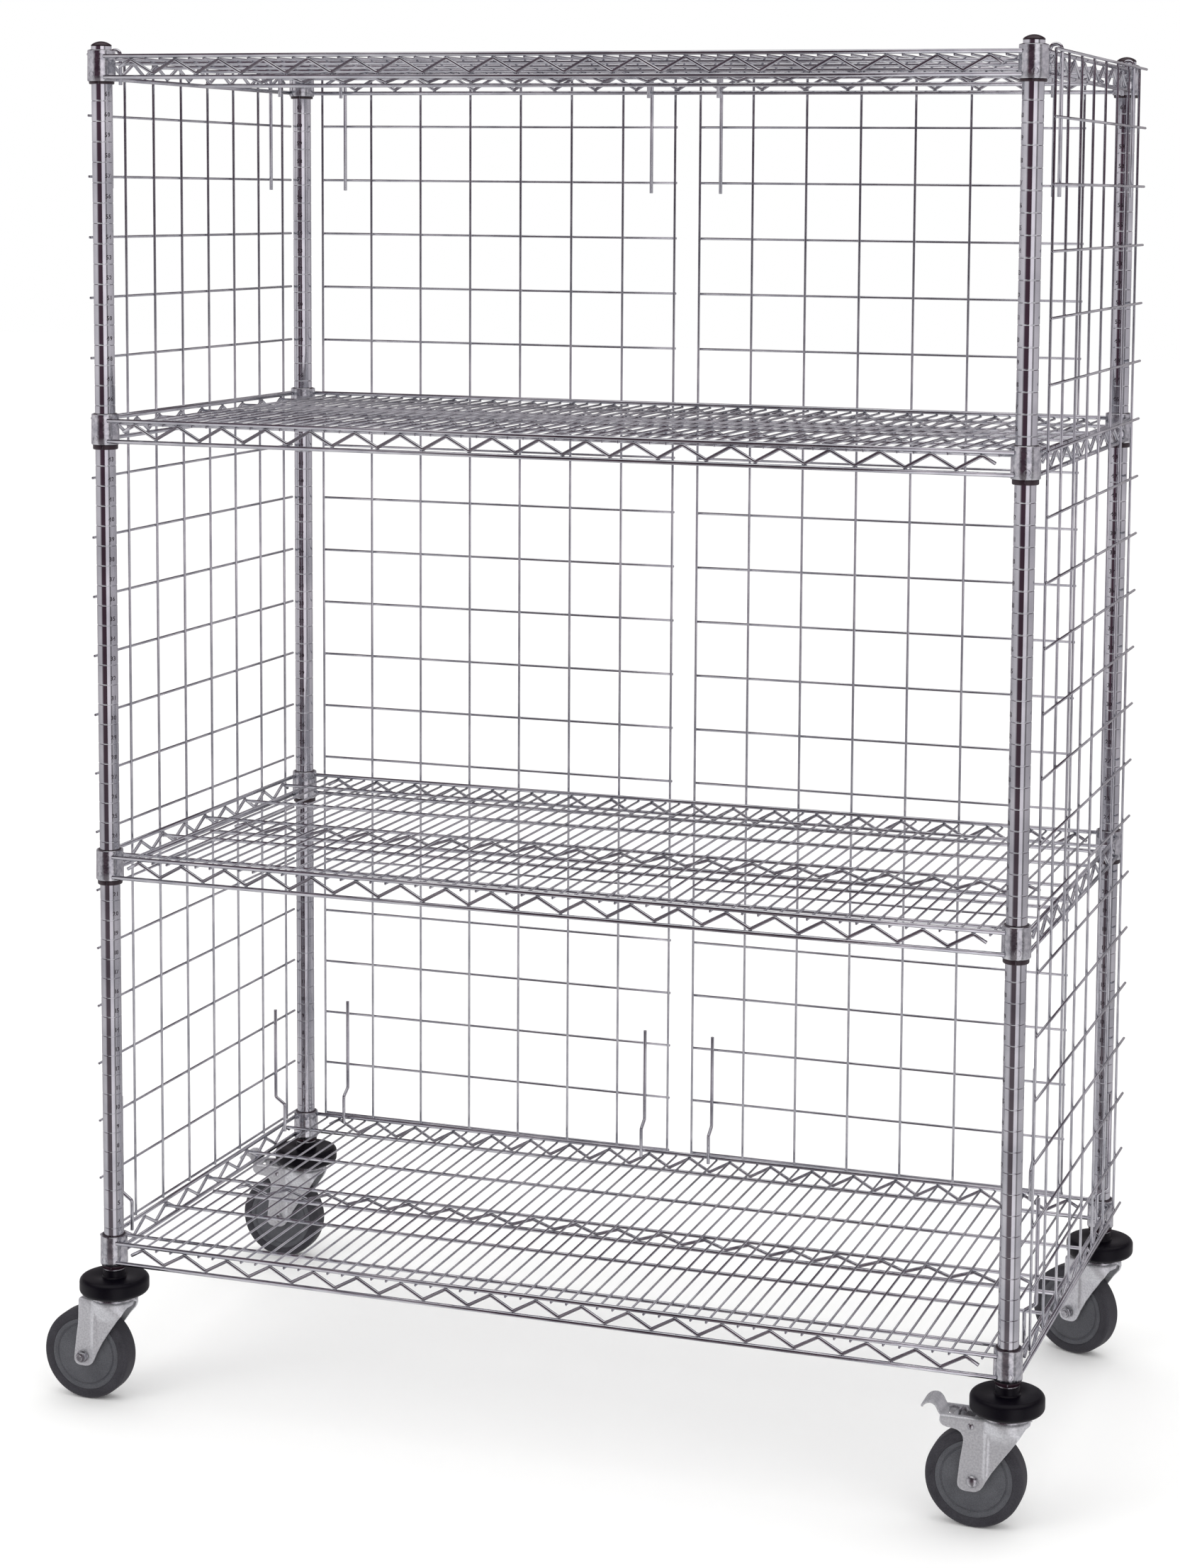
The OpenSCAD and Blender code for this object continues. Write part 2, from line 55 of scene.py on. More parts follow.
def linearColour(hexText):  # sRGB hex to the linear values the shader wants
    parts = [int(hexText[i:i + 2], 16) / 255 for i in (1, 3, 5)]
    return [p / 12.92 if p <= 0.04045 else ((p + 0.055) / 1.055) ** 2.4 for p in parts] + [1.0]


def addNode(tree, kind, settings=None, values=None, links=None):
    node = tree.nodes.new(kind)
    for name, value in (settings or {}).items():
        setattr(node, name, value)
    for socket, value in (values or {}).items():
        node.inputs[socket].default_value = value
    for socket, source in (links or {}).items():
        tree.links.new(source, node.inputs[socket])
    return node


def newShape():
    return {"points": [], "faces": []}


def addTo(shape, points, faces, place=None):
    first = len(shape["points"])
    if place is not None:
        points = [place @ Vector(p) for p in points]
    shape["points"].extend([tuple(p) for p in points])
    shape["faces"].extend([tuple(first + i for i in face) for face in faces])


def ringFaces(rings, sides, closed=False):
    faces = []
    for r in range(rings if closed else rings - 1):
        a, b = r * sides, ((r + 1) % rings) * sides
        faces += [(a + i, a + (i + 1) % sides, b + (i + 1) % sides, b + i) for i in range(sides)]
    if not closed:
        faces.append(tuple(reversed(range(sides))))
        faces.append(tuple(range((rings - 1) * sides, rings * sides)))
    return faces


def addTube(shape, path, radius, sides=12, edge=0.35, place=None):  # round wire with softened cut ends
    path = [Vector(p) for p in path]
    count = len(path)
    ways = [(path[min(i + 1, count - 1)] - path[max(i - 1, 0)]).normalized() for i in range(count)]
    stations = [(path[0], radius - edge, ways[0]), (path[0] + ways[0] * edge, radius, ways[0])]
    stations += [(path[i], radius, ways[i]) for i in range(1, count - 1)]
    stations += [(path[-1] - ways[-1] * edge, radius, ways[-1]), (path[-1], radius - edge, ways[-1])]
    side = ways[0].orthogonal().normalized()
    points = []
    for centre, r, way in stations:
        side = (side - way * side.dot(way)).normalized()
        up = way.cross(side)
        for i in range(sides):
            a = 2 * math.pi * i / sides
            points.append(centre + side * (r * math.cos(a)) + up * (r * math.sin(a)))
    addTo(shape, points, ringFaces(len(stations), sides), place)


def bentPath(points, radius, steps=5):  # a path with its corners rounded
    points = [Vector(p) for p in points]
    path = [points[0]]
    for before, corner, after in zip(points, points[1:], points[2:]):
        a, b = (before - corner), (after - corner)
        half = a.angle(b) / 2
        cut = min(radius / math.tan(half), a.length * 0.48, b.length * 0.48)
        a, b = corner + a.normalized() * cut, corner + b.normalized() * cut
        for i in range(steps + 1):
            t = i / steps
            path.append(a.lerp(corner, t).lerp(corner.lerp(b, t), t))
    path.append(points[-1])
    return path


def addLathe(shape, profile, sides=48, place=None, closed=False):  # profile is (radius, height)
    points = []
    for r, z in profile:
        points += [(r * math.cos(2 * math.pi * i / sides), r * math.sin(2 * math.pi * i / sides), z)
                   for i in range(sides)]
    addTo(shape, points, ringFaces(len(profile), sides, closed), place)


def addBlob(shape, centre, size, rough=0.0, dice=None, sides=7, rings=4):  # a weld nugget
    cx, cy, cz = centre
    points = [(cx, cy, cz - size[2])]
    for r in range(1, rings):
        lift = math.pi * r / rings
        for i in range(sides):
            a = 2 * math.pi * (i + r * 0.5) / sides
            k = 1 + (dice.uniform(-rough, rough) if dice else 0)
            points.append((cx + size[0] * k * math.sin(lift) * math.cos(a),
                           cy + size[1] * k * math.sin(lift) * math.sin(a),
                           cz - size[2] * k * math.cos(lift)))
    points.append((cx, cy, cz + size[2]))
    faces = [(0, 1 + (i + 1) % sides, 1 + i) for i in range(sides)]
    for r in range(rings - 2):
        a, b = 1 + r * sides, 1 + (r + 1) * sides
        faces += [(a + i, a + (i + 1) % sides, b + (i + 1) % sides, b + i) for i in range(sides)]
    last, top = 1 + (rings - 2) * sides, len(points) - 1
    faces += [(last + i, last + (i + 1) % sides, top) for i in range(sides)]
    addTo(shape, points, faces)


def addPlate(shape, outline, low, high, place=None):  # an outline (x, z) with thickness along y
    count = len(outline)
    points = [(x, low, z) for x, z in outline] + [(x, high, z) for x, z in outline]
    faces = [tuple(range(count)), tuple(reversed(range(count, 2 * count)))]
    faces += [(i, (i + 1) % count, count + (i + 1) % count, count + i) for i in range(count)]
    addTo(shape, points, faces, place)


def arcPoints(cx, cz, r, a0, a1, steps=6):
    angles = [math.radians(a0 + (a1 - a0) * i / steps) for i in range(steps + 1)]
    return [(cx + r * math.cos(a), cz + r * math.sin(a)) for a in angles]


def makePiece(name, shape, material, body, nodes, sharp=38, bevel=0.0, bevelAngle=40):
    mesh = bpy.data.meshes.new(name)
    mesh.from_pydata([(x * mm, y * mm, z * mm) for x, y, z in shape["points"]], [], shape["faces"])
    work = bmesh.new()
    work.from_mesh(mesh)
    bmesh.ops.remove_doubles(work, verts=work.verts, dist=0.004 * mm)
    bmesh.ops.recalc_face_normals(work, faces=work.faces)
    if bevel:
        limit = math.radians(bevelAngle)
        edges = [e for e in work.edges if len(e.link_faces) == 2 and e.calc_face_angle(0) > limit]
        bmesh.ops.bevel(work, geom=edges, offset=bevel * mm, segments=2, profile=0.6,
                        affect="EDGES", clamp_overlap=True)
    work.to_mesh(mesh)
    work.free()
    mesh.shade_smooth()
    mesh.set_sharp_from_angle(angle=math.radians(sharp))
    piece = bpy.data.objects.new(name, mesh)
    bpy.context.scene.collection.objects.link(piece)
    mesh.materials.append(material)
    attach(piece, body)
    if nodes:
        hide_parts(*nodes)
    return piece


def startMaterial(name):
    material = bpy.data.materials.new(name)
    material.use_nodes = True
    tree = material.node_tree
    tree.nodes.clear()
    shader = addNode(tree, "ShaderNodeBsdfPrincipled")
    addNode(tree, "ShaderNodeOutputMaterial", {"location": (400, 0)},
            links={"Surface": shader.outputs["BSDF"]})
    where = addNode(tree, "ShaderNodeTexCoord", {"location": (-1000, 0)})
    return material, tree, shader, where.outputs["Object"]


def finishMaterial(tree, shader, tint, rough, bump):
    tree.links.new(tint.outputs[2], shader.inputs["Base Color"])
    tree.links.new(rough.outputs["Result"], shader.inputs["Roughness"])
    tree.links.new(bump.outputs["Normal"], shader.inputs["Normal"])


def platedMetal(name, look):  # clouds tint the plating, fine grain roughens and bumps it
    material, tree, shader, place = startMaterial(name)
    cloud = addNode(tree, "ShaderNodeTexNoise", values={"Scale": 1000.0 / look["cloudMm"], "Detail": 4.0},
                    links={"Vector": place})
    blotch = addNode(tree, "ShaderNodeMapRange", values={"From Min": 0.35, "From Max": 0.65},
                     links={"Value": cloud.outputs["Fac"]})
    tint = addNode(tree, "ShaderNodeMix", {"data_type": "RGBA"},
                   {6: linearColour(look["dark"]), 7: linearColour(look["light"])},
                   {0: blotch.outputs["Result"]})
    drawn = addNode(tree, "ShaderNodeMapping", values={"Scale": look.get("stretch", (1, 1, 1))},
                    links={"Vector": place})
    fine = addNode(tree, "ShaderNodeTexNoise", values={"Scale": 1000.0 / look["grainMm"], "Detail": 2.0},
                   links={"Vector": drawn.outputs["Vector"]})
    rough = addNode(tree, "ShaderNodeMapRange", values={"From Min": 0.3, "From Max": 0.7,
                    "To Min": look["smooth"], "To Max": look["rough"]}, links={"Value": fine.outputs["Fac"]})
    bump = addNode(tree, "ShaderNodeBump", values={"Strength": look["bump"], "Distance": look["bumpMm"] * mm},
                   links={"Height": fine.outputs["Fac"]})
    shader.inputs["Metallic"].default_value = look.get("metal", 1.0)
    finishMaterial(tree, shader, tint, rough, bump)
    return material


def mouldedPolymer(name, look):  # the mould's texture specks the colour and bumps the skin
    material, tree, shader, place = startMaterial(name)
    cloud = addNode(tree, "ShaderNodeTexNoise", values={"Scale": 1000.0 / look["cloudMm"], "Detail": 4.0},
                    links={"Vector": place})
    fine = addNode(tree, "ShaderNodeTexNoise", values={"Scale": 1000.0 / look["grainMm"], "Detail": 3.0},
                   links={"Vector": place})
    speck = addNode(tree, "ShaderNodeMapRange", values={"From Min": 0.40, "From Max": 0.62},
                    links={"Value": fine.outputs["Fac"]})
    cloudy = addNode(tree, "ShaderNodeMapRange", values={"From Min": 0.3, "From Max": 0.7},
                     links={"Value": cloud.outputs["Fac"]})
    blend = addNode(tree, "ShaderNodeMath", {"operation": "MULTIPLY_ADD"}, {1: 0.6, 2: 0.0},
                    {0: speck.outputs["Result"]})
    both = addNode(tree, "ShaderNodeMath", {"operation": "MULTIPLY_ADD"}, {1: 0.4},
                   {0: cloudy.outputs["Result"], 2: blend.outputs[0]})
    tint = addNode(tree, "ShaderNodeMix", {"data_type": "RGBA"},
                   {6: linearColour(look["dark"]), 7: linearColour(look["light"])}, {0: both.outputs[0]})
    rough = addNode(tree, "ShaderNodeMapRange", values={"From Min": 0.3, "From Max": 0.7,
                    "To Min": look["smooth"], "To Max": look["rough"]}, links={"Value": cloud.outputs["Fac"]})
    bump = addNode(tree, "ShaderNodeBump", values={"Strength": look["bump"], "Distance": look["bumpMm"] * mm},
                   links={"Height": fine.outputs["Fac"]})
    shader.inputs["IOR"].default_value = look["ior"]
    shader.inputs["Specular IOR Level"].default_value = look.get("shine", 0.5)
    finishMaterial(tree, shader, tint, rough, bump)
    return material


# bright decorative chrome over rolled tube: mirror-like with long faint polishing lines up the post
tubeChrome = platedMetal("chromePlatedTube", {
    "dark": "#c4c6cb", "light": "#e0e1e5", "cloudMm": 60, "grainMm": 1.2, "stretch": (1, 1, 0.04),
    "smooth": 0.06, "rough": 0.12, "bump": 0.03, "bumpMm": 0.03})
# chrome over drawn wire: bright, a little softer than the tube, with faint drawing marks
wireChrome = platedMetal("chromePlatedWire", {
    "dark": "#c2c4ca", "light": "#e2e3e7", "cloudMm": 35, "grainMm": 2.0,
    "smooth": 0.08, "rough": 0.18, "bump": 0.06, "bumpMm": 0.05})
# chrome over a die casting: the skin keeps its pits and ripples, so reflections break up
castChrome = platedMetal("chromePlatedCasting", {
    "dark": "#b4b6bb", "light": "#dedfe2", "cloudMm": 7, "grainMm": 2.6,
    "smooth": 0.10, "rough": 0.26, "bump": 0.35, "bumpMm": 0.35})
# chrome over spatter and nuggets left by resistance welding
weldChrome = platedMetal("chromePlatedWeld", {
    "dark": "#a0a2a9", "light": "#d4d5da", "cloudMm": 3, "grainMm": 1.1,
    "smooth": 0.14, "rough": 0.34, "bump": 0.5, "bumpMm": 0.3})
# zinc-plated pressed sheet: satin grey with a cloudy spangle and small pits
zincSheet = platedMetal("zincPlatedSheet", {
    "dark": "#c6c7cb", "light": "#dedfe2", "cloudMm": 2.4, "grainMm": 0.9,
    "smooth": 0.30, "rough": 0.46, "bump": 0.25, "bumpMm": 0.10, "metal": 0.62})
# bright zinc on turned steel: ball race, bolt, nut and flange
zincBright = platedMetal("zincPlatedFastener", {
    "dark": "#a6a8ac", "light": "#d6d7d9", "cloudMm": 5, "grainMm": 0.7,
    "smooth": 0.22, "rough": 0.36, "bump": 0.15, "bumpMm": 0.06})
# nylon 6 moulding, black with a maroon cast where light grazes it
blackNylon = mouldedPolymer("blackNylon", {
    "dark": "#1a0b14", "light": "#2b1420", "cloudMm": 12, "grainMm": 0.8, "ior": 1.53,
    "smooth": 0.28, "rough": 0.42, "bump": 0.12, "bumpMm": 0.05})
# moulded thermoplastic rubber bumper: near black, smooth skin with a low sheen
bumperRubber = mouldedPolymer("blackThermoplasticRubber", {
    "dark": "#04020a", "light": "#090612", "cloudMm": 25, "grainMm": 1.4, "ior": 1.52, "shine": 0.2,
    "smooth": 0.34, "rough": 0.48, "bump": 0.10, "bumpMm": 0.06})
# grey thermoplastic rubber tread: matt and finely stippled
treadRubber = mouldedPolymer("greyTreadRubber", {
    "dark": "#2a292e", "light": "#3e3d43", "cloudMm": 18, "grainMm": 0.9, "ior": 1.50, "shine": 0.3,
    "smooth": 0.48, "rough": 0.66, "bump": 0.22, "bumpMm": 0.10})
# grey polypropylene wheel centre: spark-eroded mould texture about 1 mm across
wheelPlastic = mouldedPolymer("greyPolypropylene", {
    "dark": "#3e3f44", "light": "#57585d", "cloudMm": 22, "grainMm": 1.0, "ior": 1.49,
    "smooth": 0.42, "rough": 0.58, "bump": 0.30, "bumpMm": 0.12})
# black enamel rubbed into the rolled figures
figureEnamel = mouldedPolymer("blackEnamel", {
    "dark": "#120a12", "light": "#2a1a26", "cloudMm": 6, "grainMm": 0.6, "ior": 1.50,
    "smooth": 0.35, "rough": 0.50, "bump": 0.05, "bumpMm": 0.02})
print("stage: materials")


postFit = {"groovePitch": 25.4, "firstGroove": 3.9, "firstFigure": 2, "grooveDepth": 0.45, "grooveWidth": 1.5,
           "wall": 1.6, "figureHeight": 5.6, "figureRise": 8.5, "figureProud": 0.05, "sides": 48,
           "figureTurn": {"front_left": -30, "front_right": -150, "rear_left": -82, "rear_right": -98}}

postAt = {}
for corner in corners:
    low, high = boxMm("post_" + corner)
    postAt[corner] = ((low.x + high.x) / 2, (low.y + high.y) / 2)
postLow, postHigh = boxMm("post_front_left")
postRadius = (postHigh.x - postLow.x) / 2
footZ, headZ = postLow.z, postHigh.z
halfX, halfY = postAt["rear_right"]


def postProfile():
    f = postFit
    inner = postRadius - f["wall"]
    profile = [(inner, 0), (postRadius - 0.3, 0), (postRadius, 0.3)]
    z = f["firstGroove"]
    while z < headZ - footZ - f["grooveWidth"]:
        deep = postRadius - f["grooveDepth"]
        half = f["grooveWidth"] / 2
        profile += [(postRadius, z - half - 0.2), (postRadius - 0.08, z - half), (deep, z - half * 0.3),
                    (deep, z + half * 0.3), (postRadius - 0.08, z + half), (postRadius, z + half + 0.2)]
        z += f["groovePitch"]
    length = headZ - footZ
    return profile + [(postRadius, length - 0.3), (postRadius - 0.3, length), (inner, length)]


def digitOutlines(height):  # plain figures 0 to 9 as thin flat meshes
    figures = []
    for digit in range(10):
        curve = bpy.data.curves.new("figure", "FONT")
        curve.body = str(digit)
        curve.size = height / 0.72
        curve.resolution_u = 2
        curve.offset = 0.15
        curve.extrude = postFit["figureProud"]
        holder = bpy.data.objects.new("figure", curve)
        bpy.context.scene.collection.objects.link(holder)
        bpy.context.view_layer.update()
        made = bpy.data.meshes.new_from_object(holder)
        figures.append(([tuple(v.co) for v in made.vertices], [tuple(p.vertices) for p in made.polygons]))
        bpy.data.objects.remove(holder)
        bpy.data.curves.remove(curve)
        bpy.data.meshes.remove(made)
    return figures


figures = digitOutlines(postFit["figureHeight"])
for corner in corners:
    x, y = postAt[corner]
    shape = newShape()
    addLathe(shape, postProfile(), postFit["sides"], Matrix.Translation((x, y, footZ)), closed=True)
    makePiece("post_" + corner + "_tube", shape, tubeChrome, "cart", ["post_" + corner], 12)
    shape = newShape()
    turn = math.radians(postFit["figureTurn"][corner])
    number, z = postFit["firstFigure"], footZ + postFit["firstGroove"] + postFit["figureRise"]
    while z < headZ - 12:
        text = str(number)
        widths = [max(p[0] for p in figures[int(d)][0]) for d in text]
        left = -(sum(widths) + 0.7 * (len(text) - 1)) / 2
        for digit, width in zip(text, widths):
            points, faces = figures[int(digit)]
            wrapped = []
            for u, v, w in points:
                a = turn + (left + u) / postRadius
                r = postRadius + w + 0.01
                rise = z - postFit["figureHeight"] / 2 + v
                wrapped.append((x + r * math.cos(a), y + r * math.sin(a), rise))
            addTo(shape, wrapped, faces)
            left += width + 0.7
        number += 1
        z += postFit["groovePitch"]
    makePiece("post_" + corner + "_figures", shape, figureEnamel, "cart", [], 30)

capFit = {"lip": 1.4, "height": 6.0, "radius": 12.8}
shape = newShape()
crownRise = capFit["height"] - capFit["lip"]
dome = (capFit["radius"] ** 2 + crownRise ** 2) / (2 * crownRise)
domeEdge = math.asin((capFit["radius"] - 0.4) / dome)
capProfile = [(2.0, -14), (10.8, -14), (11.0, -13.5), (11.0, 0.0), (capFit["radius"] - 0.2, 0.0),
              (capFit["radius"], 0.3), (capFit["radius"], capFit["lip"] - 0.3),
              (capFit["radius"] - 0.3, capFit["lip"])]
for step in range(1, 9):
    lift = domeEdge * (1 - step / 8.5)
    capProfile.append((dome * math.sin(lift), capFit["height"] - dome * (1 - math.cos(lift))))
for corner in corners:
    addLathe(shape, capProfile, 40, Matrix.Translation((*postAt[corner], headZ + 0.1)))
makePiece("post_caps_moulded", shape, blackNylon, "cart", ["post_caps"], 45)
print("stage: posts")


shelfFit = {"rimRadius": 2.7, "rimOut": 13.0, "rimLow": 5.0, "rimRise": 26.0, "trussRadius": 2.2,
            "deckRadius": 1.5, "deckPitch": 20.14, "deckHalf": 28, "trussEvery": 3, "crossRadius": 2.25,
            "crossPitch": 124, "deckEnd": 15.0, "trussTail": 16.0,
            "zigzagBend": 5.0}
collarFit = {"bottom": 17.6, "top": 17.1, "height": 39.0, "boreLow": 15.3, "boreHigh": 14.6, "edge": 1.4}


def collarProfile():
    f = collarFit
    return [(f["boreLow"], 0.2), (f["boreLow"] + 0.4, 0), (f["bottom"] - f["edge"], 0),
            (f["bottom"] - f["edge"] * 0.4, 0.35), (f["bottom"], f["edge"]),
            (f["bottom"] - 0.1, f["height"] * 0.3), (f["top"] + 0.1, f["height"] * 0.8),
            (f["top"], f["height"] - 0.8), (f["top"] - 0.5, f["height"] - 0.1), (f["top"] - 0.9, f["height"]),
            (f["boreHigh"] + 0.3, f["height"]), (f["boreHigh"], f["height"] - 0.3)]


def addMark(shape, x, y, z, turn, radius, rise):  # small raised ring left by the casting die
    place = (Matrix.Translation((x, y, z)) @ Matrix.Rotation(math.radians(turn), 4, "Z")
             @ Matrix.Translation((collarFit["bottom"] - 0.45, 0, 0)) @ Matrix.Rotation(math.pi / 2, 4, "Y"))
    ring = [(radius - 1.0, -0.6), (radius - 0.8, rise - 0.15), (radius - 0.5, rise),
            (radius - 0.2, rise - 0.15), (radius, -0.6)]
    addLathe(shape, ring, 24, place, closed=True)


def zigzagPath(count, pitch, low, high, tail):
    middle = [(i * pitch / 2, high if i % 2 == 0 else low) for i in range(-2 * count, 2 * count + 1)]
    fall = high - tail * 2 * (high - low) / pitch
    return [(-count * pitch - tail, fall)] + middle + [(count * pitch + tail, fall)]


def buildShelf(name, dice):
    f = shelfFit
    z0 = boxMm(name + "_shelf_collars")[0].z
    rimX, rimY = halfX + f["rimOut"], halfY + f["rimOut"]
    top = z0 + f["rimLow"] + f["rimRise"]
    low = z0 + f["rimLow"]

    collars = newShape()
    for corner in corners:
        x, y = postAt[corner]
        addLathe(collars, collarProfile(), 56, Matrix.Translation((x, y, z0)), closed=True)
        for s, turn in ((1, -90 + 18), (-1, 90 - 18)):
            if (y < 0) == (s > 0):
                addMark(collars, x, y, z0 + 8.5, turn if x > 0 else -180 - turn, 4.2, 0.35)
    makePiece(name + "_shelf_collars_cast", collars, castChrome, "cart", [name + "_shelf_collars"],
              34)

    welds = newShape()
    rims = newShape()
    gripX = math.sqrt(collarFit["bottom"] ** 2 - f["rimOut"] ** 2) - 1.8
    for z in (low, top):
        for s in (-1, 1):
            ends = [(-halfX + gripX, s * rimY, z), (halfX - gripX, s * rimY, z)]
            addTube(rims, [ends[0], (0, s * rimY, z), ends[1]], f["rimRadius"], 16, 0.6)
            sideEnds = [(s * rimX, -halfY + gripX, z), (s * rimX, halfY - gripX, z)]
            addTube(rims, [sideEnds[0], (s * rimX, 0, z), sideEnds[1]], f["rimRadius"], 16, 0.6)
            for x, y, h in ends:
                side = 1 if x < 0 else -1
                for k in range(5):
                    addBlob(welds, (x + side * dice.uniform(-1.5, 4.5), y - s * dice.uniform(0.5, 2.4),
                                    h + dice.uniform(-2.4, 2.4)),
                            [dice.uniform(1.1, 2.3) for _ in range(3)], 0.22, dice, 8, 5)
            for x, y, h in sideEnds:
                side = 1 if y < 0 else -1
                for k in range(5):
                    addBlob(welds, (x - s * dice.uniform(0.5, 2.4), y + side * dice.uniform(-1.5, 4.5),
                                    h + dice.uniform(-2.4, 2.4)),
                            [dice.uniform(1.1, 2.3) for _ in range(3)], 0.22, dice, 8, 5)

    # zigzags: in the planes of the rims, and one along the middle under the deck
    pitch = f["trussEvery"] * f["deckPitch"]
    highZ = top - f["rimRadius"] - f["trussRadius"] + 0.3
    lowZ = low + f["rimRadius"] + f["trussRadius"] - 0.3
    zigzag = f["trussRadius"]
    frontCount = f["deckHalf"] // f["trussEvery"]
    sideCount = int((halfY - 27) // pitch)
    for s in (-1, 1):
        flat = zigzagPath(frontCount, pitch, lowZ, highZ, f["trussTail"])
        addTube(rims, bentPath([(x, s * rimY, z) for x, z in flat], f["zigzagBend"]), zigzag, 12, 0.5)
        side = zigzagPath(sideCount, pitch, lowZ, highZ, f["trussTail"])
        addTube(rims, bentPath([(s * rimX, y, z) for y, z in side], f["zigzagBend"]), zigzag, 12, 0.5)
        for line, flip in ((flat, False), (side, True)):
            for i, (u, z) in enumerate(line[1:-1]):
                h = z + (f["trussRadius"] - 0.2) * (1 if i % 2 == 0 else -1)
                centre = (s * rimX, u, h) if flip else (u, s * rimY, h)
                size = (1.7, 2.9, 1.3) if flip else (2.9, 1.7, 1.3)
                addBlob(welds, centre, size, 0.12, dice)
    deckZ = top - f["rimRadius"] - f["deckRadius"] + 0.25
    crossZ = deckZ - f["deckRadius"] - f["crossRadius"] + 0.35
    middleHigh = crossZ - f["crossRadius"] - f["trussRadius"] + 0.4
    middle = zigzagPath(frontCount, pitch, lowZ, middleHigh, f["trussTail"])
    addTube(rims, bentPath([(x, 0, z) for x, z in middle], f["zigzagBend"]), zigzag, 12, 0.5)
    makePiece(name + "_shelf_rims_wire", rims, wireChrome, "cart", [name + "_shelf_rims"], 50)

    # deck wires, and the wires that carry them
    deck = newShape()
    reach = halfX + f["rimOut"] - f["trussRadius"]
    for j in (-2, -1, 0, 1, 2):
        addTube(deck, [(-reach, j * f["crossPitch"], crossZ), (0, j * f["crossPitch"], crossZ),
                       (reach, j * f["crossPitch"], crossZ)], f["crossRadius"], 12, 0.4)
        for s in (-1, 1):
            addBlob(welds, (s * reach, j * f["crossPitch"], crossZ), (1.4, 2.6, 2.6), 0.15, dice)
    addTube(deck, [(-reach + 6, 0, low), (0, 0, low), (reach - 6, 0, low)], f["rimRadius"], 12, 0.5)
    for i in range(-f["deckHalf"], f["deckHalf"] + 1):
        x = i * f["deckPitch"]
        end = halfY + (f["deckEnd"] if i % f["trussEvery"] else f["rimOut"] - f["trussRadius"])
        end += dice.uniform(-0.4, 0.4)
        addTube(deck, [(x, -end, deckZ), (x, 0, deckZ), (x, end, deckZ)], f["deckRadius"], 10, 0.3)
        for j in (-2, -1, 0, 1, 2):
            addBlob(welds, (x, j * f["crossPitch"], deckZ - f["deckRadius"] + 0.1), (1.9, 1.5, 0.7),
                    0.1, dice, 6, 4)
        for s in (-1, 1):
            addBlob(welds, (x, s * rimY, deckZ + f["deckRadius"] - 0.2), (1.8, 2.2, 0.9), 0.1, dice, 6, 4)
    makePiece(name + "_shelf_deck_wire", deck, wireChrome, "cart", [name + "_shelf_deck"], 50)
    makePiece(name + "_shelf_welds", welds, weldChrome, "cart", [], 60)


sleeveFit = {"lipOut": 0.4, "gap": 1.2, "turn": 12, "proud": 0.5}


def buildSleeves(name):
    z0 = boxMm(name + "_shelf_collars")[0].z
    lip = z0 - boxMm(name + "_shelf_sleeves")[0].z
    f, c = sleeveFit, collarFit
    inner = postRadius + 0.05
    slit = math.asin(f["gap"] / 2 / inner)
    lipEdge = c["boreLow"] + f["lipOut"]
    profile = [(inner, -lip), (lipEdge - 0.7, -lip), (lipEdge, -lip + 0.9),
               (lipEdge, -0.3), (c["boreLow"] - 0.05, -0.1),
               (c["boreHigh"] - 0.05, c["height"]), (c["boreHigh"] - 0.15, c["height"] + f["proud"]),
               (inner, c["height"] + f["proud"])]
    steps = 22
    shape = newShape()
    for corner in corners:
        for half in (0, 1):
            start = math.radians(90 + f["turn"]) + half * math.pi + slit
            stop = start + math.pi - 2 * slit
            points = []
            for i in range(steps + 1):
                a = start + (stop - start) * i / steps
                points += [(r * math.cos(a), r * math.sin(a), z) for r, z in profile]
            addTo(shape, points, ringFaces(steps + 1, len(profile)),
                  Matrix.Translation((*postAt[corner], z0)))
    makePiece(name + "_shelf_sleeves_moulded", shape, blackNylon, "cart", [name + "_shelf_sleeves"],
              40)


for index, shelf in enumerate(shelves):
    buildShelf(shelf, random.Random(40 + index))
    buildSleeves(shelf)
print("stage: shelves")


panelFit = {"cell": 76.2, "across": 7, "meshRadius": 1.7, "hookRadius": 2.4, "hookBend": 7.08, "jogBend": 4.0,
            "weldSize": 1.5, "stubDrop": 4.5, "legPast": 14.5, "rodPast": 19.5, "stepAbove": 39.0}


def panelAxes(name):  # maps (along, outward, up) to the row frame, in mm
    if name in ("left", "right"):
        s = 1 if name == "right" else -1
        return Matrix(((0, s, 0, 0), (1, 0, 0, 0), (0, 0, 1, 0), (0, 0, 0, 1)))
    return Matrix.Identity(4)


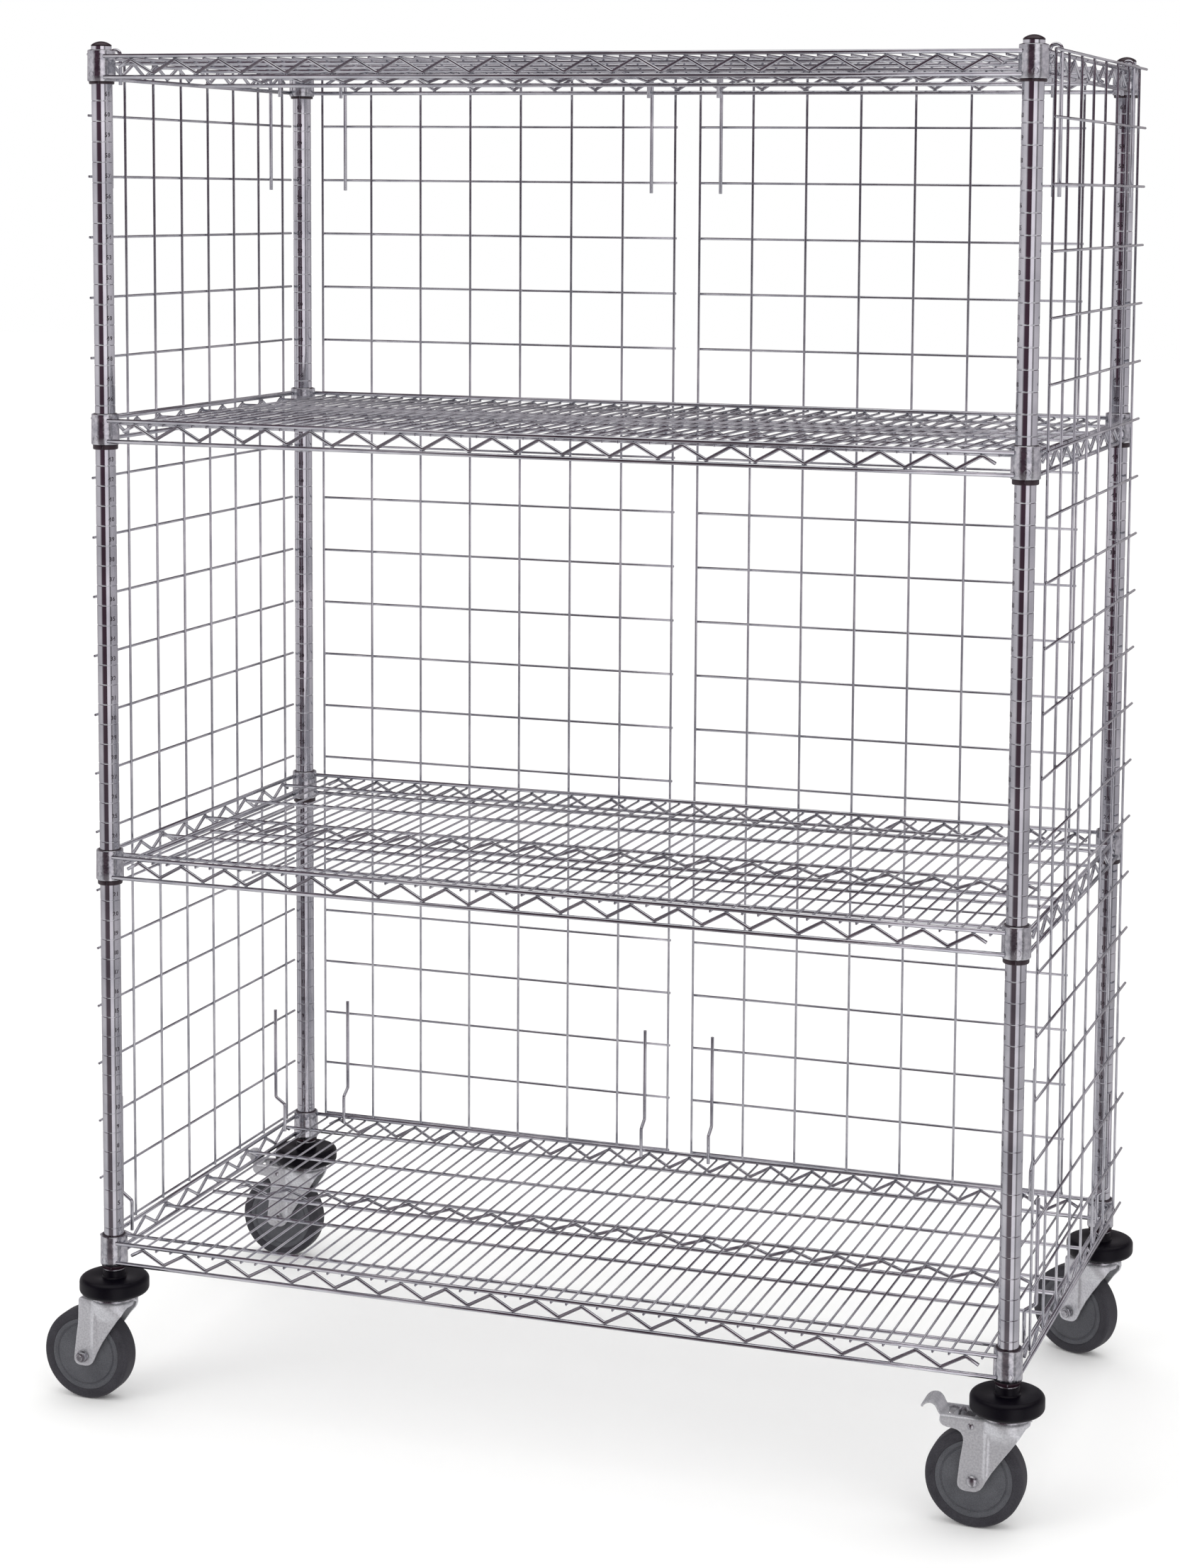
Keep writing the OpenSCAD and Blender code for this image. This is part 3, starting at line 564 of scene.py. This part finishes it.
def buildPanel(name, dice):
    f = panelFit
    low, high = boxMm(name + "_panel_grid")
    place = panelAxes(name)
    flip = place.inverted()
    a, b = flip @ low, flip @ high
    start, stop = min(a.x, b.x), max(a.x, b.x)
    outer, inner = max(a.y, b.y) - f["meshRadius"], min(a.y, b.y) + f["meshRadius"]
    inner += 0.25  # wires bite into each other where they are welded
    bottom, top = low.z + f["meshRadius"], high.z - f["meshRadius"]
    width = f["across"] * f["cell"]
    middle = 0 if name in ("left", "right") else (start + stop) / 2
    body = name + "_panel"
    grid, welds = newShape(), newShape()
    rows = round((top - bottom) / f["cell"])
    for k in range(rows + 1):
        z = bottom + k * f["cell"]
        addTube(grid, [(start, outer, z), (middle, outer, z), (stop, outer, z)], f["meshRadius"], 10, 0.3,
                place)
    for j in range(f["across"] + 1):
        u = middle - width / 2 + j * f["cell"]
        addTube(grid, [(u, inner, bottom - f["meshRadius"]), (u, inner, (bottom + top) / 2),
                       (u, inner, top + f["meshRadius"])], f["meshRadius"], 10, 0.3, place)
        for k in range(rows + 1):
            z = bottom + k * f["cell"]
            size = f["weldSize"] * dice.uniform(0.85, 1.2)
            at = place @ Vector((u, (outer + inner) / 2, z))
            blob = newShape()
            addBlob(blob, (0, 0, 0), (size * 1.35, 0.95, size * 1.35), 0.12, dice, 8, 4)
            addTo(welds, blob["points"], blob["faces"], Matrix.Translation(at) @ place)
    makePiece(name + "_panel_mesh", grid, wireChrome, body, [name + "_panel_grid"], 50)

    hookLow, hookHigh = boxMm(name + "_panel_hooks")
    a, b = flip @ hookLow, flip @ hookHigh
    legY, stubY = max(a.y, b.y) - f["hookRadius"], min(a.y, b.y) + f["hookRadius"]
    along = (min(a.x, b.x) + f["hookRadius"], max(a.x, b.x) - f["hookRadius"])
    shelfTop = boxMm("top_shelf_collars")[0].z
    shelfFoot = boxMm("bottom_shelf_collars")[0].z
    rimTop = shelfFit["rimLow"] + shelfFit["rimRise"] + shelfFit["rimRadius"]
    archZ = hookHigh.z - f["hookRadius"] - f["hookBend"]
    legFoot = top - 2 * f["cell"] - f["legPast"]
    rodTop = bottom + 2 * f["cell"] + f["rodPast"]
    stepZ = shelfFoot + rimTop + f["stepAbove"]
    hooks = newShape()
    for u in along:
        path = [(u, legY, legFoot), (u, legY, (legFoot + archZ) / 2)]
        for i in range(13):
            t = math.pi * i / 12
            path.append((u, (legY + stubY) / 2 + f["hookBend"] * math.cos(t),
                         archZ + f["hookBend"] * math.sin(t)))
        path.append((u, stubY, shelfTop + shelfFit["rimLow"] - shelfFit["rimRadius"] - f["stubDrop"]))
        addTube(hooks, path, f["hookRadius"], 14, 0.4, place)
        run = 2 * f["jogBend"]
        rod = [(u, legY, rodTop), (u, legY, stepZ + 1), (u, stubY, stepZ - run - 1), (u, stubY, hookLow.z)]
        addTube(hooks, bentPath(rod, 4.5, 8), f["hookRadius"], 14, 0.4, place)
        crossings = [top - k * f["cell"] for k in range(3)] + [bottom + k * f["cell"] for k in (1, 2)]
        for z in crossings:
            blob = newShape()
            addBlob(blob, (0, 0, 0), (2.4, 1.1, 1.9), 0.14, dice, 8, 4)
            at = place @ Vector((u, outer - f["meshRadius"], z))
            addTo(welds, blob["points"], blob["faces"], Matrix.Translation(at) @ place)
    makePiece(name + "_panel_hooks_rod", hooks, wireChrome, body, [name + "_panel_hooks"], 50)
    makePiece(name + "_panel_welds", welds, weldChrome, body, [], 60)


for index, panel in enumerate(("left", "right", "rear_left", "rear_right")):
    buildPanel(panel, random.Random(70 + index))
print("stage: panels")


casterFit = {"turn": {"front_left": 0, "front_right": 0, "rear_left": 0, "rear_right": -20},
             "nutSide": {"front_left": -1, "front_right": 1, "rear_left": 1, "rear_right": -1},
             "braked": ("front_right", "rear_left"), "trail": 36.0, "axleZ": 60.0, "crownZ": 137.0,
             "half": 21.1, "sheet": 2.4, "bendRadius": 3.4, "crownRadius": 30.0}
bumperFit = {"radius": 44.78, "edge": 6.5, "depth": 22.0}
wheelFit = {"radius": 60.0, "width": 29.0, "treadInner": 47.2, "hub": 11.0, "hubHalf": 18.2}
forkFit = {
    "plainLeft": [(137, -41), (126, -41.5), (103, -43), (90, -45), (67, -48), (57, -49), (52.5, -48.6),
                  (49.5, -46.8), (47.6, -43.6), (47, -40)],
    "plainRight": [(137, 30), (131.5, 29.4), (129.8, 26), (120, 20.5), (110, 12), (96, 2), (81, -8),
                   (66, -16), (57, -20), (52, -22.6), (49, -26), (47.6, -29), (47, -33)],
    "brakedLeft": [(137, -75), (135.5, -76.4), (130, -77), (126.5, -75.6), (124.2, -72.6), (122.8, -68),
                   (122, -60), (120.8, -55), (118, -51), (114, -48.6), (109, -47.8), (97, -49.4), (84, -51.6),
                   (67, -53.4), (57, -54.4), (52, -53.6), (49, -51), (47.6, -47.6), (47, -44)],
    "brakedRight": [(137, 30), (131.5, 29.4), (129.8, 26), (118, 19), (105, 10), (88, -2.5), (73, -13),
                    (60, -20.6), (54, -23.6), (50.4, -26.6), (48, -30.4), (47, -34)]}


def along(table, z):  # x of an outline at height z
    for (z1, x1), (z2, x2) in zip(table, table[1:]):
        if z2 <= z <= z1:
            return x1 if z1 == z2 else x1 + (x2 - x1) * (z1 - z) / (z1 - z2)
    return table[-1][1]


def planHalf(x):  # half width of the crown's bend line at x
    f = casterFit
    flatEnd = -math.sqrt(f["crownRadius"] ** 2 - f["half"] ** 2)
    if x <= flatEnd:
        return f["half"], Vector((0, -1))
    y = math.sqrt(max(f["crownRadius"] ** 2 - x * x, 0))
    return y, Vector((x, -y)).normalized()


def buildFork(corner, place, body):
    f = casterFit
    braked = corner in f["braked"]
    left, right = (forkFit["brakedLeft"], forkFit["brakedRight"]) if braked else (
        forkFit["plainLeft"], forkFit["plainRight"])
    columns = 40
    bend = f["bendRadius"]
    shape = newShape()
    sheets = []
    for mirror in (1, -1):
        rows = []
        for k in range(6):  # the rounded fold from crown to cheek
            a = math.pi / 2 * k / 5
            rows.append((f["crownZ"] - bend * (1 - math.cos(a)), bend * (1 - math.sin(a))))
        heights = sorted({z for z, _ in left + right if z < f["crownZ"] - bend - 0.6}
                         | {f["crownZ"] - bend - 1.5 - 3.0 * k for k in range(27)}, reverse=True)
        rows += [(z, 0) for z in heights if z >= left[-1][0]]
        points = []
        for z, inset in rows:
            x0, x1 = along(left, z), along(right, z)
            for c in range(columns + 1):
                t = c / columns
                x = x0 + (x1 - x0) * t
                y, out = planHalf(min(x, f["crownRadius"]))
                drop = min(max((f["crownZ"] - bend - z) / 26, 0), 1)
                ease = drop * drop * (3 - 2 * drop)
                y = y + (f["half"] - 1.4 - y) * ease
                rib = 1.5 * math.exp(-((x + 20 - (z - 90) * 0.02) / 2.6) ** 2)
                rib *= min(max((z - 62) / 8, 0), 1) * min(max((130 - z) / 10, 0), 1)
                points.append((x - out.x * inset, -(y - inset * abs(out.y) + rib) * mirror, z))
        faces = []
        span = columns + 1
        for r in range(len(rows) - 1):
            for c in range(columns):
                q = (r * span + c, r * span + c + 1, (r + 1) * span + c + 1, (r + 1) * span + c)
                faces.append(q if mirror == 1 else tuple(reversed(q)))
        addTo(shape, points, faces)
        sheets.append(points[:span])
    # crown between the two folds, open over the pedal on a braked fork
    edgeA, edgeB = sheets
    across = 10
    grid = []
    for c in range(columns + 1):
        a, b = Vector(edgeA[c]), Vector(edgeB[c])
        grid.append([a.lerp(b, k / across) for k in range(across + 1)])
    points = [p for line in grid for p in line]
    faces = []
    for c in range(columns):
        for k in range(across):
            if braked and grid[c][0].x < -36 and 1 <= k < across - 1:
                continue
            i = c * (across + 1) + k
            faces.append((i, i + 1, i + across + 2, i + across + 1))
    addTo(shape, points, faces)
    shape["points"] = [tuple(place @ Vector(p)) for p in shape["points"]]
    fork = makePiece("fork_" + corner + "_pressed", shape, zincSheet, body, ["fork_" + corner],
                     50)
    thick = fork.modifiers.new("sheet", "SOLIDIFY")
    thick.thickness = f["sheet"] * mm
    thick.offset = -1
    thick.use_even_offset = True
    soft = fork.modifiers.new("edges", "BEVEL")
    soft.width = 0.45 * mm
    soft.segments = 2
    soft.limit_method = "ANGLE"
    soft.angle_limit = math.radians(50)
    return fork


def buildCaster(corner):
    f, w = casterFit, wheelFit
    x, y = postAt[corner]
    place = Matrix.Translation((x, y, 0)) @ Matrix.Rotation(math.radians(f["turn"][corner]), 4, "Z")
    axle = place @ Matrix.Translation((-f["trail"], 0, f["axleZ"])) @ Matrix.Rotation(math.pi / 2, 4, "X")
    swivel, roller = "swivel_" + corner, "roller_" + corner

    # stem with its flange under the post and the riveted end under the crown
    stem = newShape()
    addLathe(stem, [(4.0, 129.8), (9.0, 129.8), (9.5, 130.6), (9.2, 133.2), (6.0, 134.0), (6.0, 176.0),
                    (13.6, 175.5), (14.0, 175.8), (14.0, 177.1), (13.6, 177.4), (11.0, 177.5), (11.0, 236.0),
                    (10.2, 237.5), (4.0, 237.5)], 40, place, closed=True)
    makePiece("stem_" + corner + "_turned", stem, zincBright, "cart", ["stem_" + corner], 35)

    bumperLow, bumperHigh = boxMm("bumper_" + corner)
    r, soft = bumperFit["radius"], bumperFit["edge"]
    deep = bumperLow.z + bumperFit["depth"]
    bumper = newShape()
    profile = [(6.2, bumperLow.z), (14, bumperLow.z), (30, bumperLow.z + 0.4)]
    profile += arcPoints(r - soft, bumperLow.z + soft, soft, -88, 0, 8)
    profile += arcPoints(r - soft, deep - soft, soft, 0, 84, 8)
    profile += [(30, deep + 0.1), (18.5, deep - 0.3), (16.4, deep - 0.8), (15.2, deep + 0.4),
                (14.6, deep + 1.6), (14.6, bumperHigh.z - 0.6), (14.2, bumperHigh.z), (6.2, bumperHigh.z)]
    addLathe(bumper, profile, 72, place, closed=True)
    makePiece("bumper_" + corner + "_moulded", bumper, bumperRubber, "cart", ["bumper_" + corner],
              40)

    raceLow, raceHigh = boxMm("race_" + corner)
    z = raceLow.z
    race = newShape()
    addLathe(race, [(6.05, z), (28.6, z), (29.5, z + 0.7), (29.5, z + 2.3), (29.2, z + 2.9), (27.6, z + 3.2),
                    (27.6, z + 3.7), (29.0, z + 4.0), (29.2, z + 4.7), (28.8, z + 5.6),
                    (26.5, raceHigh.z - 0.3), (24, raceHigh.z), (6.05, raceHigh.z)], 64, place, closed=True)
    makePiece("race_" + corner + "_rolled", race, zincBright, swivel, ["race_" + corner], 30)

    buildFork(corner, place, swivel)

    # bolt with a domed head on one side and a flanged lock nut on the other
    side = f["nutSide"][corner]
    turned = axle if side > 0 else axle @ Matrix.Rotation(math.pi, 4, "X")
    face = f["half"] + 0.1
    bolt = newShape()
    head = [(0.6, face + 3.9), (2.4, face + 3.7), (4.4, face + 3.1), (6.0, face + 2.1), (7.0, face + 0.9),
            (7.3, face + 0.2), (7.0, face), (4.0, face), (3.95, -face - 8.8), (3.5, -face - 9.4),
            (0.6, -face - 9.4)]
    addLathe(bolt, head, 36, turned)
    addLathe(bolt, [(4.02, -face - 0.1), (7.9, -face - 0.1), (8.1, -face - 0.5), (7.7, -face - 1.3),
                    (4.02, -face - 1.4)], 32, turned, closed=True)
    nut = newShape()
    hexagon = [(7.6 * math.cos(math.radians(60 * i + 12)), 7.6 * math.sin(math.radians(60 * i + 12)))
               for i in range(6)]
    points, sides = [], 6
    for scale, h in ((0.97, -face - 1.2), (1.0, -face - 1.8), (1.0, -face - 5.2), (0.90, -face - 5.9)):
        points += [(hx * scale, hy * scale, h) for hx, hy in hexagon]
    addTo(nut, points, ringFaces(4, sides))
    addLathe(nut, [(4.02, -face - 5.6), (6.5, -face - 5.6), (6.5, -face - 6.2), (5.9, -face - 7.3),
                   (4.6, -face - 7.5), (4.02, -face - 7.5)], 28, None, closed=True)
    addTo(bolt, nut["points"], nut["faces"], turned)
    makePiece("axle_" + corner + "_bolt", bolt, zincBright, swivel, ["axle_" + corner], 32)

    # wheel centre with its rings, and the tread bonded round it
    half = w["width"] / 2
    core = newShape()
    one = [(4.05, w["hubHalf"]), (w["hub"] - 0.8, w["hubHalf"]), (w["hub"], w["hubHalf"] - 0.8),
           (w["hub"] + 0.6, half - 0.4), (w["hub"] + 2.0, half - 1.2), (36.5, half - 1.2), (38.6, half - 1.4),
           (39.4, half - 2.4), (40.6, half - 2.4), (41.4, half - 1.3), (42.4, half - 0.9), (46.2, half - 0.7),
           (w["treadInner"] - 0.1, half - 1.1)]
    addLathe(core, one + [(r, -h) for r, h in reversed(one)], 72, axle, closed=True)
    makePiece("wheel_" + corner + "_centre", core, wheelPlastic, roller, ["wheel_" + corner],
              35)
    tread = newShape()
    inner = w["treadInner"]
    outer = [(inner, half - 1.0), (inner + 0.6, half - 0.3), (inner + 2.2, half)]
    outer += arcPoints(w["radius"] - 5.2, half - 5.2, 5.2, 80, 12, 6)
    outer += [(w["radius"], half - 7.5), (w["radius"], 0)]
    outline = outer + [(r, -h) for r, h in reversed(outer[:-1])]
    addLathe(tread, outline, 96, axle, closed=True)
    makePiece("tread_" + corner + "_moulded", tread, treadRubber, roller, ["tread_" + corner],
              40)

    if corner in f["braked"]:
        buildBrake(corner, place)


pedalFit = {"half": 17.6, "sheet": 2.2, "ribs": 6, "ribRise": 0.7, "pivotX": -39.0, "pivotZ": 127.0}


def sheetOutline(line, thick):  # a bent strip's outline from its top line
    line = [Vector((*p, 0)) for p in line]
    under = []
    for i, p in enumerate(line):
        way = (line[min(i + 1, len(line) - 1)] - line[max(i - 1, 0)]).normalized()
        under.append(p + Vector((way.y, -way.x, 0)) * thick)
    return [(p.x, p.y) for p in line] + [(p.x, p.y) for p in reversed(under)]


def buildBrake(corner, place):
    p = pedalFit
    swivel, body = "swivel_" + corner, "brake_" + corner
    z = casterFit["crownZ"]
    toe = [(-100.4, z + 5.6), (-99.8, z + 7.4), (-97.6, z + 9.8), (-94.6, z + 11.8), (-91.4, z + 12.9),
           (-88.0, z + 13.0), (-84.8, z + 12.0), (-82.0, z + 9.8), (-79.8, z + 6.6), (-78.2, z + 3.2),
           (-76.6, z + 0.6), (-74.4, z - 0.8), (-72.0, z - 1.0)]
    pedal = newShape()
    addPlate(pedal, sheetOutline(toe, p["sheet"]), -p["half"], p["half"], place)
    deckLine = [(-73.0, z - 0.8), (-58.0, z - 1.8), (-44.0, z - 3.2)]
    for a, b in ((-p["half"], -9.5), (9.5, p["half"])):
        addPlate(pedal, sheetOutline(deckLine, p["sheet"]), a, b, place)
    for x0, x1 in ((-73.0, -69.0), (-62.5, -57.0)):
        bridge = [(x, z - 0.8 - (x + 73) * 0.083) for x in (x0, (x0 + x1) / 2, x1)]
        addPlate(pedal, sheetOutline(bridge, p["sheet"]), -9.6, 9.6, place)
    for s in (-1, 1):  # arms that run down to the pivot
        arm = [(-74, z - 2), (-66, z - 1.8), (-40, z - 4.4), (-34.4, z - 8), (-34.2, z - 12), (-38, z - 15.4),
               (-43, z - 14.4), (-56, z - 8), (-74, z - 5)]
        y0, y1 = sorted((s * 15.8, s * 17.6))
        addPlate(pedal, arm, y0, y1, place)
    shoe = [(-62.6, z - 3.4), (-58.4, z - 3.8), (-58.4, z - 15.8), (-60.0, z - 16.9), (-62.2, z - 15.6)]
    addPlate(pedal, shoe, -12, 12, place)
    for k in range(p["ribs"]):  # grip ribs across the outer third of the toe
        t = 0.35 + k * 0.62
        (x0, z0), (x1, z1) = toe[int(t)], toe[int(t) + 1]
        cx, cz = x0 + (x1 - x0) * (t % 1), z0 + (z1 - z0) * (t % 1)
        rib = [(cx + 0.75 * math.cos(a), cz + p["ribRise"] * math.sin(a))
               for a in [math.radians(30 * i) for i in range(12)]]
        addPlate(pedal, rib, -p["half"] + 1.0, p["half"] - 1.0, place)
    makePiece("pedal_" + corner + "_pressed", pedal, zincSheet, body, ["pedal_" + corner],
              35, 0.35)

    # release tab and the small return spring's blade between the arms
    tab = newShape()
    line = [(-57.4, z - 2.6), (-56.6, z + 3.0), (-54.0, z + 5.4), (-50.0, z + 4.8), (-46.4, z + 1.2)]
    addPlate(tab, sheetOutline(line, 1.6), -7.5, 3.5, place)
    blade = [(-71.0, z + 0.6), (-66.0, z + 1.6), (-60.0, z + 0.4), (-55.0, z - 2.6)]
    addPlate(tab, sheetOutline(blade, 1.2), 4.5, 9.0, place)
    makePiece("pedal_" + corner + "_release", tab, zincBright, body, [], 35, 0.3)

    rivet = newShape()
    across = place @ Matrix.Translation((p["pivotX"], 0, p["pivotZ"])) @ Matrix.Rotation(math.pi / 2, 4, "X")
    edge = casterFit["half"]
    half = [(0.5, edge + 1.9), (1.8, edge + 1.7), (3.2, edge + 1.0), (4.1, edge + 0.1), (4.1, edge - 0.2),
            (2.9, edge - 0.3)]
    addLathe(rivet, half + [(r, -h) for r, h in reversed(half)], 24, across)
    makePiece("fork_" + corner + "_rivet", rivet, zincBright, swivel, [], 35)


for corner in corners:
    buildCaster(corner)
print("stage: casters")


# brightness round the room, from the left wall (0) past the front (0.3) and the right wall (0.55) to the back
# (0.8): black flags left of the camera, a strip box right of it, dark screens further round
studio = {"floorSize": 26.0, "backdrop": 1.0, "fill": 1.20,
          "keyPower": 45.0, "sidePower": 12.0, "topPower": 25.0,
          "ring": [(0.0, 0.66), (0.12, 0.74), (0.15, 0.40), (0.175, 0.06), (0.296, 0.05), (0.312, 1.0),
                   (0.40, 1.0), (0.415, 0.24), (0.44, 0.22), (0.47, 0.62), (0.60, 0.58), (0.70, 0.48),
                   (0.80, 0.46), (0.90, 0.52), (1.0, 0.66)],
          "height": [(0.0, 0.9), (0.40, 0.75), (0.47, 1.0), (0.60, 1.0), (0.70, 0.35), (0.76, 0.10),
                     (1.0, 0.10)]}

# matt white paint, slightly uneven over 900 mm
material, tree, shader, place = startMaterial("paintedStudioFloor")
uneven = addNode(tree, "ShaderNodeTexNoise", values={"Scale": 1000.0 / 900, "Detail": 2.0},
                 links={"Vector": place})
paint = addNode(tree, "ShaderNodeMix", {"data_type": "RGBA"},
                {6: linearColour("#f5f5f4"), 7: linearColour("#fbfbfa")}, {0: uneven.outputs["Fac"]})
tree.links.new(paint.outputs[2], shader.inputs["Base Color"])
shader.inputs["Roughness"].default_value = 0.9
shader.inputs["Specular IOR Level"].default_value = 0.1
mesh = bpy.data.meshes.new("studioFloor")
span = studio["floorSize"]
mesh.from_pydata([(-span, -span, 0), (span, -span, 0), (span, span, 0), (-span, span, 0)], [], [(0, 1, 2, 3)])
mesh.materials.append(material)
floor = bpy.data.objects.new("studioFloor", mesh)
bpy.context.scene.collection.objects.link(floor)
floor.visible_glossy = False  # plated wires mirror the room, not the floor


def fillRamp(node, stops):
    ramp = node.color_ramp
    ramp.elements.remove(ramp.elements[1])
    ramp.elements[0].position = stops[0][0]
    ramp.elements[0].color = (stops[0][1],) * 3 + (1,)
    for place, value in stops[1:]:
        tone = (value, value * 0.97, value) if value > 0.2 else (value * 1.25, value * 0.72, value)
        ramp.elements.new(place).color = (*tone, 1)


def buildWorld():
    world = bpy.data.worlds.new("softStudio")
    bpy.context.scene.world = world
    world.use_nodes = True
    tree = world.node_tree
    tree.nodes.clear()
    where = addNode(tree, "ShaderNodeTexCoord")
    split = addNode(tree, "ShaderNodeSeparateXYZ", links={0: where.outputs["Generated"]})
    turn = addNode(tree, "ShaderNodeMath", {"operation": "ARCTAN2"},
                   links={0: split.outputs["Y"], 1: split.outputs["X"]})
    around = addNode(tree, "ShaderNodeMapRange", values={"From Min": -math.pi, "From Max": math.pi},
                     links={"Value": turn.outputs[0]})
    ring = addNode(tree, "ShaderNodeValToRGB", links={"Fac": around.outputs["Result"]})
    fillRamp(ring, studio["ring"])
    lift = addNode(tree, "ShaderNodeMapRange", values={"From Min": -1.0, "From Max": 1.0},
                   links={"Value": split.outputs["Z"]})
    height = addNode(tree, "ShaderNodeValToRGB", links={"Fac": lift.outputs["Result"]})
    fillRamp(height, studio["height"])
    both = addNode(tree, "ShaderNodeMix", {"data_type": "RGBA", "blend_type": "MULTIPLY"}, {0: 1.0},
                   {6: ring.outputs["Color"], 7: height.outputs["Color"]})
    ceiling = addNode(tree, "ShaderNodeMapRange",
                      values={"From Min": 0.72, "From Max": 0.80, "To Max": 0.85},
                      links={"Value": split.outputs["Z"]})
    ground = addNode(tree, "ShaderNodeMapRange",
                     values={"From Min": -0.15, "From Max": -0.45, "To Max": 0.16},
                     links={"Value": split.outputs["Z"]})
    glow = addNode(tree, "ShaderNodeMath", {"operation": "ADD"},
                   links={0: ceiling.outputs["Result"], 1: ground.outputs["Result"]})
    sky = addNode(tree, "ShaderNodeMix", {"data_type": "RGBA", "blend_type": "ADD"}, {0: 1.0},
                  {6: both.outputs[2], 7: glow.outputs[0]})
    room = addNode(tree, "ShaderNodeBackground", values={"Strength": 1.0}, links={"Color": sky.outputs[2]})
    even = addNode(tree, "ShaderNodeBackground", values={"Color": (1, 1, 1, 1), "Strength": studio["fill"]})
    plain = addNode(tree, "ShaderNodeBackground",
                    values={"Color": (1, 1, 1, 1), "Strength": studio["backdrop"]})
    path = addNode(tree, "ShaderNodeLightPath")
    soft = addNode(tree, "ShaderNodeMixShader", links={0: path.outputs["Is Diffuse Ray"],
                                                      1: room.outputs[0], 2: even.outputs[0]})
    last = addNode(tree, "ShaderNodeMixShader", links={0: path.outputs["Is Camera Ray"],
                                                      1: soft.outputs[0], 2: plain.outputs[0]})
    addNode(tree, "ShaderNodeOutputWorld", links={"Surface": last.outputs[0]})


def addSoftbox(name, spot, target, size, power):
    data = bpy.data.lights.new(name, "AREA")
    data.shape = "RECTANGLE"
    data.size, data.size_y = size
    data.energy = power
    lamp = bpy.data.objects.new(name, data)
    lamp.location = spot
    lamp.visible_glossy = False  # reflections come from the room alone
    lamp.rotation_euler = (Vector(target) - Vector(spot)).to_track_quat("-Z", "Y").to_euler()
    bpy.context.scene.collection.objects.link(lamp)


buildWorld()
addSoftbox("keySoftbox", (-3.2, -4.2, 3.4), (0, 0, 0.9), (2.6, 2.6), studio["keyPower"])
addSoftbox("fillSoftbox", (4.6, -2.6, 2.0), (0, 0, 0.8), (2.0, 3.0), studio["sidePower"])
addSoftbox("topSoftbox", (0, 0.6, 5.0), (0, 0, 0), (3.6, 2.4), studio["topPower"])

view = {"place": (1.332, -3.738, 1.5705), "turn": 18.14, "tilt": -5.85, "roll": 0.52, "lens": 70.65,
        "shiftX": -0.0710, "shiftY": -0.175}
camera = bpy.data.cameras.new("camera")
camera.sensor_width = 36.0
camera.sensor_fit = "AUTO"
camera.lens = view["lens"]
camera.shift_x = view["shiftX"]
camera.shift_y = view["shiftY"]
camera.dof.use_dof = False
cameraHolder = bpy.data.objects.new("camera", camera)
cameraHolder.location = view["place"]
aim = Matrix.Rotation(math.radians(view["turn"]), 4, "Z") @ Matrix.Rotation(
    math.radians(90 + view["tilt"]), 4, "X") @ Matrix.Rotation(math.radians(view["roll"]), 4, "Z")
cameraHolder.rotation_euler = aim.to_euler()
bpy.context.scene.collection.objects.link(cameraHolder)
bpy.context.scene.camera = cameraHolder
bpy.context.scene.view_settings.view_transform = "Standard"
print("stage: studio")
